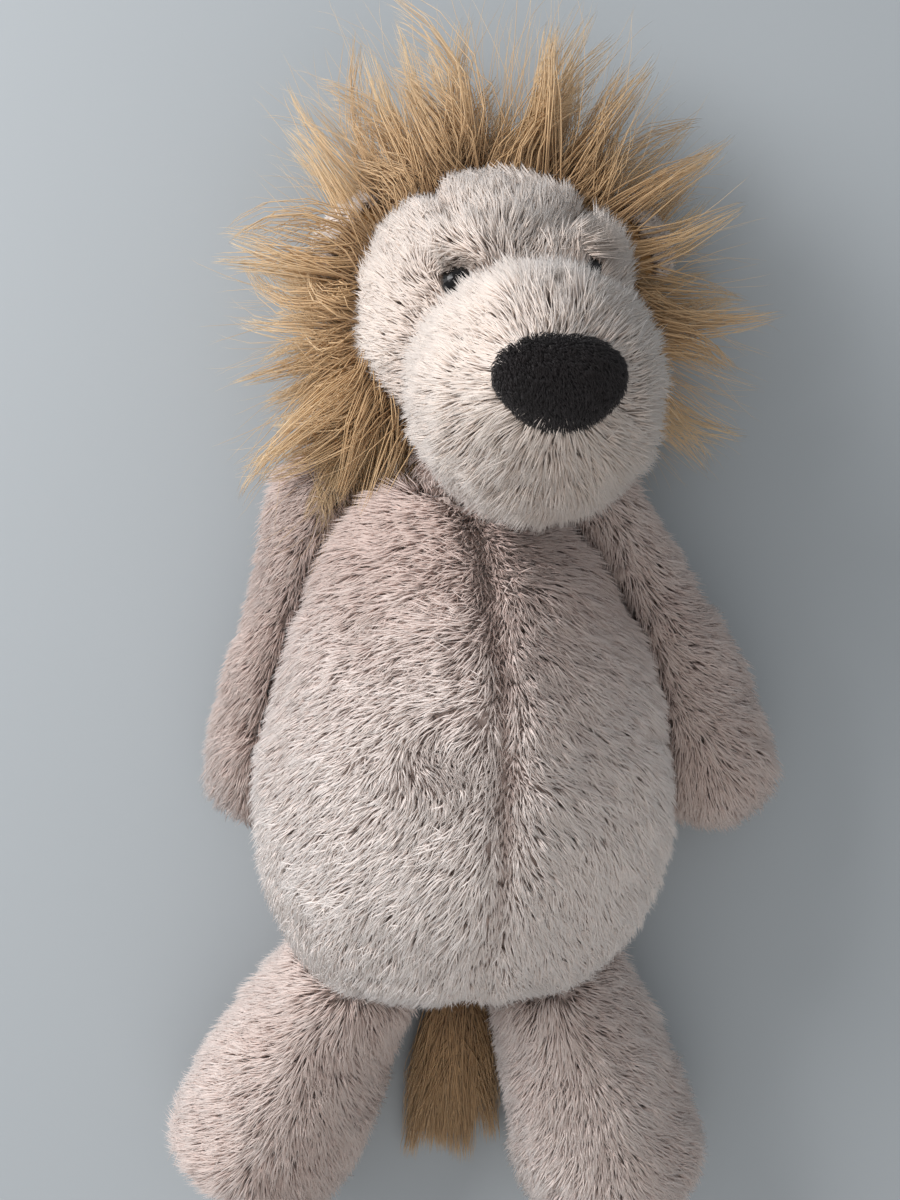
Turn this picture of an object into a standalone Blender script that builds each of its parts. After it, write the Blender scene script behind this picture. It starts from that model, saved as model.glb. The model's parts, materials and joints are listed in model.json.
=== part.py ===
"""A plush lion that lies on its back: sewn pile panels over stuffing, with floppy limbs, head and tail.

The lion faces up, +Z, with its head towards +Y. Its own left side is +X. The origin is on the flat
of its back, where it rests. Run it from Blender's text editor or with blender --background --python.
"""

import math

import bpy
import numpy as np
from mathutils import Matrix, Vector

MM = 0.001

# Cloth, seams and running gaps
cloth = 4.0 * MM
seam_gap = 0.3 * MM
fill_gap = 0.3 * MM
joint_gap = 0.4 * MM
armpit_gap = 1.4 * MM
pole_size = 0.001 * MM
smallest_end = 0.5 * MM

# Torso, from the seat to the neck
torso_length = 158.0 * MM
torso_width = 120.0 * MM
torso_depth = 88.0 * MM
seat_to_origin = 117.0 * MM
torso_lean = 5.0 * MM
front_seam_aside_deg = 10.0
seat_bag_length = 30.0 * MM

# Head, muzzle and nose
head_width = 82.0 * MM
head_height = 84.0 * MM
head_depth = 72.0 * MM
head_lift = 8.0 * MM
neck_to_head = 44.0 * MM
neck_sink = 3.0 * MM
neck_height_share = 0.44
head_aside = 8.0 * MM
neck_ball_radius = 18.0 * MM
muzzle_diameter = 70.0 * MM
muzzle_ahead = 38.0 * MM
muzzle_below = 28.0 * MM
muzzle_aside = 9.0 * MM
nose_width = 34.0 * MM
nose_height = 25.0 * MM
nose_thickness = 7.0 * MM
nose_sink = 1.5 * MM
nose_cloth = 1.5 * MM
nose_turn_share = 0.13
nose_taper_share = 0.22

# Eyes and ears
eye_diameter = 8.5 * MM
eye_dome = 3.6 * MM
eye_stem_diameter = 2.4 * MM
eye_stem_length = 9.0 * MM
washer_diameter = 9.0 * MM
washer_thickness = 1.6 * MM
eye_seat = 0.7 * MM
eye_spacing = 37.0 * MM
eye_middle = 7.0 * MM
eye_left_above = 9.0 * MM
eye_right_above = 3.0 * MM
ear_width = 27.0 * MM
ear_height = 24.0 * MM
ear_thickness = 3.4 * MM
ear_azimuth_deg = 30.0
ear_lean_deg = 38.0
ear_above_seam = 5.0 * MM
ear_out_share = 0.8

# Mane
mane_reach_side = 87.0 * MM
mane_reach_top = 106.0 * MM
mane_lock_tip = 1.4 * MM
mane_thickness = 30.0 * MM
mane_tip_lift = 12.0 * MM
mane_locks = 30
mane_from_deg = -15.0
mane_to_deg = 201.0
mane_floor_share = 0.62
mane_inner_share = 0.45
lock_valley_share = 0.80
lock_vary_share = 0.10
lock_vary_turn = 2.4
lock_root_lift_share = 1.3

# Arms
arm_length = 100.0 * MM
arm_left_share = 1.09
arm_left_splay_deg = 27.0
arm_right_splay_deg = 14.0
arm_root_radius = 16.5 * MM
shoulder_below_neck = 12.0 * MM
shoulder_sink = 6.0 * MM
shoulder_lift = 30.0 * MM
paw_lift = 19.0 * MM

# Legs
leg_length = 76.0 * MM
leg_width = 55.0 * MM
leg_depth = 47.0 * MM
foot_bag_length = 20.0 * MM
hip_spread = 26.0 * MM
hip_sink = 14.0 * MM
hip_first_share = 0.02
leg_left_splay_deg = 17.5
leg_right_splay_deg = 30.0

# Tail
tail_diameter = 11.0 * MM
tail_length = 14.0 * MM
tail_sink = 12.0 * MM
tail_cloth = 2.0 * MM
tuft_length = 48.0 * MM
tuft_width = 30.0 * MM
tuft_thickness = 9.5 * MM
tuft_lock_share = 0.14

# Facets round and along each form
TORSO_SIDES = 24
TORSO_RINGS = 14
HEAD_SIDES = 24
HEAD_RINGS = 13
MUZZLE_SIDES = 20
MUZZLE_RINGS = 10
LIMB_SIDES = 16
LIMB_RINGS = 9
SMALL_SIDES = 16
SMALL_RINGS = 5

UP = np.array([0.0, 0.0, 1.0])
SIDEWAYS = np.array([1.0, 0.0, 0.0])
AHEAD = np.array([0.0, 1.0, 0.0])

PINK_BEIGE = (0.60, 0.50, 0.44, 1.0)
CREAM = (0.74, 0.67, 0.60, 1.0)
GOLDEN = (0.44, 0.24, 0.08, 1.0)
DARK_BROWN = (0.028, 0.020, 0.022, 1.0)
BLACK = (0.010, 0.010, 0.012, 1.0)
WHITE = (0.82, 0.82, 0.80, 1.0)


def clear_scene():
    """Take away whatever the file held, so that the lion stands alone."""
    for old in list(bpy.data.objects):
        bpy.data.objects.remove(old, do_unlink=True)


def material(name, colour, roughness):
    """One Principled finish."""
    made = bpy.data.materials.get(name) or bpy.data.materials.new(name)
    made.use_nodes = True
    shader = made.node_tree.nodes["Principled BSDF"]
    shader.inputs["Base Color"].default_value = colour
    shader.inputs["Roughness"].default_value = roughness
    shader.inputs["Metallic"].default_value = 0.0
    return made


def unit(vector):
    """The vector at length 1."""
    vector = np.asarray(vector, float)
    return vector / np.linalg.norm(vector)


def smooth_table(shares, values, at):
    """A smooth curve through a table: cubic pieces whose slopes average their neighbours'."""
    shares = np.asarray(shares, float)
    values = np.asarray(values, float)
    slopes = np.gradient(values, shares)
    at = np.clip(np.asarray(at, float), shares[0], shares[-1])
    k = np.clip(np.searchsorted(shares, at, side="right") - 1, 0, len(shares) - 2)
    span = shares[k + 1] - shares[k]
    t = (at - shares[k]) / span
    return (
        values[k] * (1 + 2 * t) * (1 - t) ** 2
        + values[k + 1] * t**2 * (3 - 2 * t)
        + span * slopes[k] * t * (1 - t) ** 2
        - span * slopes[k + 1] * t**2 * (1 - t)
    )


def cosine_shares(count, first=0.0):
    """Shares from first to 1 that crowd towards a rounded end, or both ends when first is 0."""
    if first == 0.0:
        return (1 - np.cos(np.linspace(0, math.pi, count))) / 2
    return first + (1 - first) * np.sin(np.linspace(0, math.pi / 2, count))


def rings_of(centres, sideways, up, half_widths, tops, bottoms, sides, floor=None, turn_deg=0.0):
    """Rings of points: across is half width times cosine, up is top or bottom times sine."""
    angle = 2 * math.pi * np.arange(sides) / sides - math.radians(turn_deg)
    across = np.cos(angle)[None, :] * np.asarray(half_widths)[:, None]
    lift = np.sin(angle)[None, :]
    rise = np.where(lift > 0, lift * np.asarray(tops)[:, None], lift * np.asarray(bottoms)[:, None])
    points = (
        np.asarray(centres)[:, None, :]
        + across[:, :, None] * np.asarray(sideways)[:, None, :]
        + rise[:, :, None] * np.asarray(up)[:, None, :]
    )
    if floor is not None:
        points[:, :, 2] = np.maximum(points[:, :, 2], floor)
    return points


def is_pole(ring):
    """True where a ring has shrunk to one point."""
    return np.ptp(ring, axis=0).max() < pole_size


def outward(rings):
    """A unit normal at each point, across the surface's two directions, pointing out of the form."""
    around = np.roll(rings, -1, axis=1) - np.roll(rings, 1, axis=1)
    along = np.empty_like(rings)
    along[1:-1] = rings[2:] - rings[:-2]
    along[0] = rings[1] - rings[0]
    along[-1] = rings[-1] - rings[-2]
    normals = np.cross(around, along)
    lengths = np.linalg.norm(normals, axis=2, keepdims=True)
    normals = normals / np.maximum(lengths, 1e-20)
    for end, beside in ((0, 1), (-1, -2)):
        if is_pole(rings[end]):
            normals[end] = unit(normals[beside].mean(axis=0))
    centre = rings.mean(axis=1, keepdims=True)
    if np.sum(normals[1:-1] * (rings - centre)[1:-1]) < 0:
        normals = -normals
    return normals


def grown(rings, distance):
    """The form moved out along its normals, or in where the distance is negative."""
    return rings + outward(rings) * distance


def volume_of(points, faces):
    """The signed volume that the faces close."""
    total = 0.0
    for face in faces:
        a = points[face[0]]
        for b, c in zip(face[1:-1], face[2:]):
            total += np.dot(a, np.cross(points[b], points[c]))
    return total / 6


def new_object(name, points, faces, finish, guide=False):
    """An object of one closed mesh, its faces turned outwards."""
    points = np.asarray(points, float)
    if volume_of(points, faces) < 0:
        faces = [tuple(reversed(face)) for face in faces]
    mesh = bpy.data.meshes.new(name)
    mesh.from_pydata([tuple(p) for p in points], [], faces)
    mesh.update()
    mesh.shade_smooth()
    made = bpy.data.objects.new(name, mesh)
    bpy.context.scene.collection.objects.link(made)
    if guide:
        made.hide_render = True
        made.display_type = "WIRE"
    else:
        mesh.materials.append(finish)
    return made


def patch(rings, rows, columns):
    """The triangles of part of a form, over point numbers that give a pole a single number.

    Every skin and filling of one form is split along the same diagonals, so that they stay parallel.
    """
    sides = rings.shape[1]
    numbers = {}

    def number(row, column):
        column = 0 if is_pole(rings[row]) else column % sides
        return numbers.setdefault((row, column), len(numbers))

    faces = []
    for row, next_row in zip(rows[:-1], rows[1:]):
        for column, next_column in zip(columns[:-1], columns[1:]):
            corners = (
                number(row, column),
                number(row, next_column),
                number(next_row, next_column),
                number(next_row, column),
            )
            for half in ((0, 1, 2), (0, 2, 3)):
                face = tuple(dict.fromkeys(corners[k] for k in half))
                if len(face) == 3:
                    faces.append(face)
    return numbers, faces


def open_edges(faces):
    """The directed edges that only one face has."""
    edges = [(face[k], face[(k + 1) % len(face)]) for face in faces for k in range(len(face))]
    known = set(edges)
    return [edge for edge in edges if (edge[1], edge[0]) not in known]


def sewn_panel(name, rings, rows, columns, finish, shift=(0.0, 0.0, 0.0), thickness=cloth):
    """A panel of pile cloth: part of a form's skin and the same part a cloth's thickness inside."""
    rows = list(rows)
    columns = list(columns)
    numbers, faces = patch(rings, rows, columns)
    inner = grown(rings, -thickness)
    outside = np.array([rings[key] for key in numbers])
    inside = np.array([inner[key] for key in numbers])
    count = len(numbers)
    walls = [tuple(faces_at) for faces_at in faces]
    walls += [tuple(k + count for k in reversed(face)) for face in faces]
    walls += [(b, a, a + count, b + count) for a, b in open_edges(faces)]
    points = np.concatenate([outside, inside]) + np.asarray(shift)
    return new_object(name, points, walls, finish)


def closed_solid(name, rings, finish, guide=False):
    """The whole form as a solid, closed by a fan of triangles at an end that is no pole."""
    rows = list(range(len(rings)))
    columns = list(range(rings.shape[1] + 1))
    numbers, faces = patch(rings, rows, columns)
    points = [rings[key] for key in numbers]
    rim_edges = open_edges(faces)
    for row in (0, len(rings) - 1):
        if not is_pole(rings[row]):
            rim = {numbers[(row, column)] for column in range(rings.shape[1])}
            faces += [(b, a, len(points)) for a, b in rim_edges if a in rim]
            points.append(rings[row].mean(axis=0))
    return new_object(name, points, faces, finish, guide)


def cut(piece, cutter):
    """Take the cutter's space out of the piece."""
    step = piece.modifiers.new(f"cut by {cutter.name}", "BOOLEAN")
    step.operation = "DIFFERENCE"
    step.solver = "EXACT"
    step.object = cutter


def ball_rings(centre, radii, sides, rings, axes=(SIDEWAYS, AHEAD, UP)):
    """Rings of an ellipsoid with poles on its third axis: radius times sine, height times cosine."""
    turn = np.linspace(0, math.pi, rings)
    centres = np.asarray(centre) - np.outer(np.cos(turn) * radii[2], axes[2])
    across = np.sin(turn) * radii[0]
    along = np.sin(turn) * radii[1]
    side = np.tile(axes[0], (rings, 1))
    up = np.tile(axes[1], (rings, 1))
    return rings_of(centres, side, up, across, along, along, sides)


def ball_guide(name, centre, radius):
    """A ball that cuts a seat for a rounded root."""
    rings = ball_rings(centre, (radius, radius, radius), MUZZLE_SIDES, HEAD_RINGS)
    return closed_solid(name, rings, None, guide=True)


def place_origin(piece, origin):
    """Put a piece's origin on its joint without moving the piece."""
    origin = Vector([float(value) for value in origin])
    piece.data.transform(Matrix.Translation(-origin))
    piece.location = origin


def torso_rings():
    """The pear-shaped body: narrow at the neck, widest at the belly, flat where it lies."""
    rings = TORSO_RINGS
    shares = cosine_shares(rings)
    stop_shares = (0.0, 0.03, 0.08, 0.15, 0.24, 0.33, 0.46, 0.58, 0.69, 0.79, 0.89, 0.96, 1.0)
    width_shares = (0.0, 0.50, 0.72, 0.86, 0.96, 1.0, 0.98, 0.92, 0.82, 0.71, 0.57, 0.36, 0.0)
    top_shares = (0.44, 0.70, 0.82, 0.91, 0.97, 1.0, 0.99, 0.95, 0.88, 0.80, 0.70, 0.60, 0.42)
    base_shares = (0.40, 0.12, 0.03, -0.03, -0.06, -0.07, -0.07, -0.06, -0.05, -0.03, 0.04, 0.16, 0.40)
    half = smooth_table(stop_shares, width_shares, shares) * torso_width / 2
    top = smooth_table(stop_shares, top_shares, shares) * torso_depth
    base = smooth_table(stop_shares, base_shares, shares) * torso_depth
    half[0] = half[-1] = 0.0
    middle = (top + base) / 2
    rise = (top - base) / 2
    rise[0] = rise[-1] = 0.0
    along = shares * torso_length - seat_to_origin
    lean = torso_lean * np.sin(math.pi * shares)
    centres = np.stack([lean, along, middle], axis=1)
    side = np.tile(SIDEWAYS, (rings, 1))
    up = np.tile(UP, (rings, 1))
    turn = front_seam_aside_deg
    return rings_of(centres, side, up, half, rise, rise, TORSO_SIDES, floor=0.0, turn_deg=turn)


def edge_of(rings, along, side):
    """The x that a form reaches on the + or - side, at a place along Y."""
    near = rings[np.argmin(np.abs(rings[:, :, 1].mean(axis=1) - along))]
    return side * (side * near[:, 0]).max()


def limb_rings(root, tip, half_widths, tops, bottoms, stops, count, sides, floor, first=0.0):
    """A limb along a line: its girth follows a table of shares of the limb's length."""
    shares = cosine_shares(count, first)
    root = np.asarray(root, float)
    tip = np.asarray(tip, float)
    centres = root + np.outer(shares, tip - root)
    run = unit((tip - root) * np.array([1.0, 1.0, 0.0]))
    side = np.tile(np.cross(run, UP), (count, 1))
    up = np.tile(UP, (count, 1))
    half = smooth_table(stops, half_widths, shares)
    top = smooth_table(stops, tops, shares)
    bottom = smooth_table(stops, bottoms, shares)
    for end in (0, count - 1):
        if shares[end] in (0.0, 1.0) and half[end] < smallest_end:
            half[end] = top[end] = bottom[end] = 0.0
    return rings_of(centres, side, up, half, top, bottom, sides, floor=floor)


def neck_point():
    """Where the head's joints turn: just inside the top of the torso."""
    along = torso_length - seat_to_origin - neck_sink
    return np.array([torso_lean, along, neck_height_share * torso_depth])


def head_centre():
    """The middle of the head, past the neck and a little to the lion's left."""
    neck = neck_point()
    return np.array([neck[0] + head_aside, neck[1] + neck_to_head, head_lift + head_depth / 2])


def muzzle_centre():
    """The middle of the muzzle ball, in front of the head and below its middle."""
    return head_centre() + np.array([muzzle_aside, -muzzle_below, muzzle_ahead])


def head_radii():
    """Half the head's width, height and depth."""
    return np.array([head_width, head_height, head_depth]) / 2


def split_fill(names, core, row, finishes):
    """Two fillings in one skin: the rings up to a row, and from that row on past a small gap."""
    gap = unit(core[row + 1].mean(axis=0) - core[row].mean(axis=0)) * fill_gap
    second = core[row:].copy()
    second[0] = second[0] + gap
    first_piece = closed_solid(names[0], core[: row + 1], finishes[0])
    second_piece = closed_solid(names[1], second, finishes[1])
    return first_piece, second_piece


def make_torso(finishes):
    """Three sewn panels round the stuffing, with a pellet bag at the seat."""
    rings = torso_rings()
    rows = range(TORSO_RINGS)
    quarter = TORSO_SIDES // 4
    pile = finishes["body_pile"]
    half_gap = seam_gap / 2
    pieces = [
        sewn_panel("torso_front_left", rings, rows, range(0, quarter + 1), pile, (half_gap, 0, seam_gap)),
        sewn_panel(
            "torso_front_right",
            rings,
            rows,
            range(quarter, 2 * quarter + 1),
            pile,
            (-half_gap, 0, seam_gap),
        ),
        sewn_panel("torso_back", rings, rows, range(2 * quarter, 4 * quarter + 1), pile),
    ]
    core = grown(rings, -cloth - fill_gap)
    along = core.mean(axis=1)[:, 1]
    row = int(np.argmin(np.abs(along - (-seat_to_origin + seat_bag_length))))
    pieces += split_fill(
        ("seat_pellet_bag", "torso_stuffing"), core, row, (finishes["pellet_bag"], finishes["fibre_fill"])
    )
    return pieces


def make_neck(finishes):
    """A short stuffed neck: a ball shaped band of cloth, so that the head can turn and nod on it."""
    axes = (SIDEWAYS, UP, AHEAD)
    radii = (neck_ball_radius, neck_ball_radius, neck_ball_radius)
    rings = ball_rings(neck_point(), radii, MUZZLE_SIDES, HEAD_RINGS, axes)
    whole = range(MUZZLE_SIDES + 1)
    band = sewn_panel("neck_band", rings, range(2, HEAD_RINGS - 2), whole, finishes["body_pile"])
    core = grown(rings, -cloth - fill_gap)
    stuffing = closed_solid("neck_stuffing", core, finishes["fibre_fill"])
    for piece in (band, stuffing):
        place_origin(piece, neck_point())
    return band, stuffing


def head_rings():
    """The rounded head, its poles at the face and at the back."""
    return ball_rings(head_centre(), head_radii(), HEAD_SIDES, HEAD_RINGS)


def make_head(finishes):
    """Two cheeks and a forehead gusset in front, one panel behind, and the stuffing."""
    rings = head_rings()
    pile = finishes["face_pile"]
    seam_row = HEAD_RINGS // 2
    front = range(seam_row, HEAD_RINGS)
    sides = HEAD_SIDES
    top = sides // 4
    gusset_left = top - sides // 8
    gusset_right = top + sides // 12
    half_gap = seam_gap / 2
    chin = sides - top
    pieces = [
        sewn_panel(
            "cheek_left",
            rings,
            front,
            range(chin, sides + gusset_left + 1),
            pile,
            (half_gap, 0, seam_gap),
        ),
        sewn_panel(
            "cheek_right",
            rings,
            front,
            range(gusset_right, chin + 1),
            pile,
            (-half_gap, 0, seam_gap),
        ),
        sewn_panel(
            "forehead_gusset",
            rings,
            front,
            range(gusset_left, gusset_right + 1),
            pile,
            (0, seam_gap, seam_gap),
        ),
        sewn_panel("head_back", rings, range(seam_row + 1), range(sides + 1), finishes["mane_pile"]),
    ]
    core = grown(rings, -cloth - fill_gap)
    pieces.append(closed_solid("head_stuffing", core, finishes["fibre_fill"]))
    return pieces


def muzzle_axes():
    """Across, up the face and forward for the muzzle, which looks away from the head's middle."""
    forward = unit(muzzle_centre() - head_centre())
    across = unit(np.cross(AHEAD, forward))
    return across, np.cross(forward, across), forward


def make_muzzle(finishes, head_guide):
    """A round muzzle open towards the head, its stuffing, and a padded nose sewn on its front."""
    axes = muzzle_axes()
    radius = muzzle_diameter / 2
    rings = ball_rings(muzzle_centre(), (radius, radius, radius), MUZZLE_SIDES, MUZZLE_RINGS, axes)
    whole = range(MUZZLE_SIDES + 1)
    cover = sewn_panel("muzzle_cover", rings, range(2, MUZZLE_RINGS), whole, finishes["face_pile"])
    filling = closed_solid("muzzle_stuffing", grown(rings, -cloth - fill_gap), finishes["fibre_fill"])
    cut(cover, head_guide)
    cut(filling, head_guide)
    outside = closed_solid("muzzle_guide", grown(rings, seam_gap), None, guide=True)
    facing = unit(UP + nose_turn_share * SIDEWAYS - nose_turn_share / 2 * AHEAD)
    across = unit(np.cross(AHEAD, facing))
    nose_axes = (across, np.cross(facing, across), facing)
    middle = muzzle_centre() + facing * (radius - nose_sink)
    radii = (nose_width / 2, nose_height / 2, nose_thickness)
    nose = ball_rings(middle, radii, MUZZLE_SIDES, MUZZLE_RINGS, nose_axes)
    offset = nose - middle
    widening = nose_taper_share * (offset @ nose_axes[1]) / (nose_height / 2)
    nose = nose + (widening * (offset @ across))[:, :, None] * across
    half = MUZZLE_RINGS // 2 - 1
    nose_cover = sewn_panel(
        "nose_cover", nose, range(half, MUZZLE_RINGS), whole, finishes["nose_pile"], thickness=nose_cloth
    )
    pad = grown(nose, -nose_cloth - fill_gap)[half - 1 :]
    nose_pad = closed_solid("nose_stuffing", pad, finishes["fibre_fill"])
    cut(nose_cover, outside)
    cut(nose_pad, outside)
    return [cover, filling, nose_cover, nose_pad]


def turned_rings(centre, axis, radii, heights, sides):
    """Rings of a turned part: a radius at each height along its axis."""
    across = unit(np.cross(AHEAD, axis))
    along = np.cross(axis, across)
    centres = np.asarray(centre) + np.outer(heights, axis)
    side = np.tile(across, (len(radii), 1))
    up = np.tile(along, (len(radii), 1))
    return rings_of(centres, side, up, radii, radii, radii, sides)


def head_surface(across, above):
    """A point on the front of the head and the way it faces, at a place across and above its middle."""
    radii = head_radii()
    share = 1 - (across / radii[0]) ** 2 - (above / radii[1]) ** 2
    point = np.array([across, above, radii[2] * math.sqrt(share)])
    return head_centre() + point, unit(point / radii**2)


def make_eye(side, across, above, finishes, cheek, muzzle_cover, stuffing):
    """A domed eye on a stem that goes through the cheek into a locking washer behind the cloth."""
    point, facing = head_surface(across, above)
    radius = eye_diameter / 2
    stem = eye_stem_diameter / 2
    turn = np.linspace(0, math.pi / 2, SMALL_RINGS)
    radii = np.concatenate([[stem, stem], radius * np.cos(turn)])
    heights = np.concatenate([[-eye_stem_length, -eye_seat], -eye_seat + eye_dome * np.sin(turn)])
    radii[-1] = 0.0
    eye = closed_solid(
        f"eye_{side}", turned_rings(point, facing, radii, heights, SMALL_SIDES), finishes["eye_plastic"]
    )
    washer_top = -cloth - seam_gap - fill_gap
    washer_low = washer_top - washer_thickness
    washer_radius = washer_diameter / 2
    washer_rings = turned_rings(
        point, facing, [washer_radius] * 2, np.array([washer_low, washer_top]), SMALL_SIDES
    )
    washer = closed_solid(f"eye_washer_{side}", washer_rings, finishes["washer_plastic"])
    bore = stem + fill_gap
    seat_radius = radius + fill_gap
    deep = -eye_stem_length - fill_gap
    bore_rings = turned_rings(point, facing, [bore] * 2, np.array([deep, eye_dome]), SMALL_SIDES)
    bore_guide = closed_solid(f"eye_bore_guide_{side}", bore_rings, None, guide=True)
    seat_rings = turned_rings(
        point, facing, [seat_radius] * 2, np.array([-eye_seat - fill_gap, eye_dome]), SMALL_SIDES
    )
    seat_guide = closed_solid(f"eye_seat_guide_{side}", seat_rings, None, guide=True)
    pocket = washer_radius + fill_gap
    pocket_rings = turned_rings(point, facing, [pocket] * 2, np.array([deep, eye_dome]), SMALL_SIDES)
    pocket_guide = closed_solid(f"eye_pocket_guide_{side}", pocket_rings, None, guide=True)
    for cloth_piece in (cheek, muzzle_cover):
        cut(cloth_piece, seat_guide)
    cut(cheek, bore_guide)
    cut(washer, bore_guide)
    cut(stuffing, pocket_guide)
    return [eye, washer]


def make_ear(side, sign, finishes, head_guide):
    """A small round ear of two panels that leans out over the mane."""
    radii = head_radii()
    azimuth = math.radians(ear_azimuth_deg)
    outwards = np.array([sign * math.cos(azimuth), math.sin(azimuth), 0.0])
    lean = math.radians(ear_lean_deg)
    facing = UP * math.cos(lean) + outwards * math.sin(lean)
    away = outwards * math.cos(lean) - UP * math.sin(lean)
    root = head_centre() + outwards * radii[0] + UP * ear_above_seam
    middle = root + away * ear_height / 2 * ear_out_share
    across = np.cross(away, facing)
    axes = (across, away, facing)
    size = (ear_width / 2, ear_height / 2, ear_thickness)
    rings = ball_rings(middle, size, SMALL_SIDES, 2 * SMALL_RINGS - 1, axes)
    mid = SMALL_RINGS - 1
    front = closed_solid(f"ear_front_{side}", rings[mid:] + facing * seam_gap / 2, finishes["face_pile"])
    back = closed_solid(f"ear_back_{side}", rings[: mid + 1] - facing * seam_gap / 2, finishes["body_pile"])
    cut(front, head_guide)
    cut(back, head_guide)
    return [front, back]


def make_mane(finishes, head_guide):
    """The mane as a horseshoe of locks: its inside hugs the back of the head, its tips reach out."""
    centre = head_centre()
    radii = head_radii()
    steps = 3 * mane_locks + 1
    azimuth = np.radians(np.linspace(mane_from_deg, mane_to_deg, steps))
    lock = np.arange(steps)
    tip = (lock % 3 == 1).astype(float)
    upward = np.clip(np.sin(azimuth), 0, 1)
    reach = mane_reach_side + (mane_reach_top - mane_reach_side) * upward**2
    reach = reach * (1 - lock_vary_share * (1 + np.sin(lock // 3 * lock_vary_turn)) / 2)
    outer = reach * np.where(tip > 0, 1.0, lock_valley_share)
    around = 1 / np.sqrt((np.cos(azimuth) / radii[0]) ** 2 + (np.sin(azimuth) / radii[1]) ** 2)
    zero = np.zeros(steps)
    inner = around * mane_inner_share
    profile = [(inner, np.full(steps, centre[2])), (inner, zero), (reach * mane_floor_share, zero)]
    tip_height = mane_tip_lift * np.where(tip > 0, 1.0, lock_root_lift_share)
    profile.append((outer, tip_height))
    profile.append((outer, tip_height + mane_lock_tip))
    profile.append((reach * mane_floor_share, np.full(steps, mane_thickness)))
    profile.append((around, np.full(steps, centre[2])))
    outwards = np.stack([np.cos(azimuth), np.sin(azimuth), zero], axis=1)
    below = centre * np.array([1, 1, 0])
    columns = [below + out[:, None] * outwards + lift[:, None] * UP for out, lift in profile]
    rings = np.stack(columns, axis=1)
    mane = closed_solid("mane", rings, finishes["mane_pile"])
    cut(mane, head_guide)
    return mane


def limb_panels(name, sign, rings, finish):
    """Two half panels of a limb, sewn along its top and bottom lines, moved apart by the seam gap."""
    sides = rings.shape[1]
    quarter = sides // 4
    rows = range(len(rings))
    near_name, far_name = ("inner", "outer") if sign > 0 else ("outer", "inner")
    across = unit(rings[len(rings) // 2, 0] - rings[len(rings) // 2, 2 * quarter])
    across = unit(across * np.array([1.0, 1.0, 0.0]))
    move = across * seam_gap / 2
    near = sewn_panel(f"{name}_{near_name}", rings, rows, range(-quarter, quarter + 1), finish, move)
    far = sewn_panel(f"{name}_{far_name}", rings, rows, range(quarter, 3 * quarter + 1), finish, -move)
    return near, far


def held_in_ball(rings, middle, run, radius):
    """The rings with every point behind the joint's middle drawn in to lie on or inside the ball."""
    away = rings - middle
    distance = np.linalg.norm(away, axis=2, keepdims=True)
    behind = (away @ run)[:, :, None] < 0
    scale = np.where(behind, np.minimum(1.0, radius / np.maximum(distance, radius / 2)), 1.0)
    return middle + away * scale


def make_arm(side, sign, splay_deg, reach_factor, finishes, torso_guide):
    """An arm with a rounded root in the armhole, lying along the body with its paw on the floor."""
    root = shoulder_point(sign)
    splay = math.radians(splay_deg)
    run = np.array([sign * math.sin(splay), -math.cos(splay), 0.0])
    span = arm_length * reach_factor
    drop = (paw_lift - shoulder_lift) * UP
    start = root - run * arm_root_radius
    end = root + run * span + drop
    stops = (0.0, 0.02, 0.06, 0.13, 0.30, 0.55, 0.78, 0.90, 0.97, 1.0)
    girth_shares = (0.0, 0.50, 0.80, 0.97, 0.95, 0.98, 1.10, 1.02, 0.62, 0.0)
    half = np.array(girth_shares) * arm_root_radius
    rings = limb_rings(start, end, half, half, half, stops, LIMB_RINGS + 2, LIMB_SIDES, 0.0)
    rings = held_in_ball(rings, root, run, arm_root_radius)
    near, far = limb_panels(f"arm_{side}", sign, rings, finishes["body_pile"])
    core = grown(rings, -cloth - fill_gap)
    stuffing = closed_solid(f"arm_{side}_stuffing", core, finishes["fibre_fill"])
    for piece in (near, far, stuffing):
        place_origin(piece, root)
        cut(piece, torso_guide)
    return near, far, stuffing


def shoulder_point(sign):
    """The middle of an arm's rounded root, sunk into the side of the torso below the neck."""
    along = torso_length - seat_to_origin - shoulder_below_neck
    rings = torso_rings()
    edge = edge_of(rings, along, sign)
    return np.array([edge + sign * (arm_root_radius - shoulder_sink), along, shoulder_lift])


def hip_frame(sign, splay_deg):
    """A leg's start inside the torso, the way it runs, and its joint on the crease above its root."""
    splay = math.radians(splay_deg)
    run = np.array([sign * math.sin(splay), -math.cos(splay), 0.0])
    start = np.array([torso_lean / 2 + sign * hip_spread, -seat_to_origin + hip_sink, leg_depth / 2])
    hinge = start + run * hip_sink + UP * leg_depth / 2
    return start, run, hinge


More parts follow.
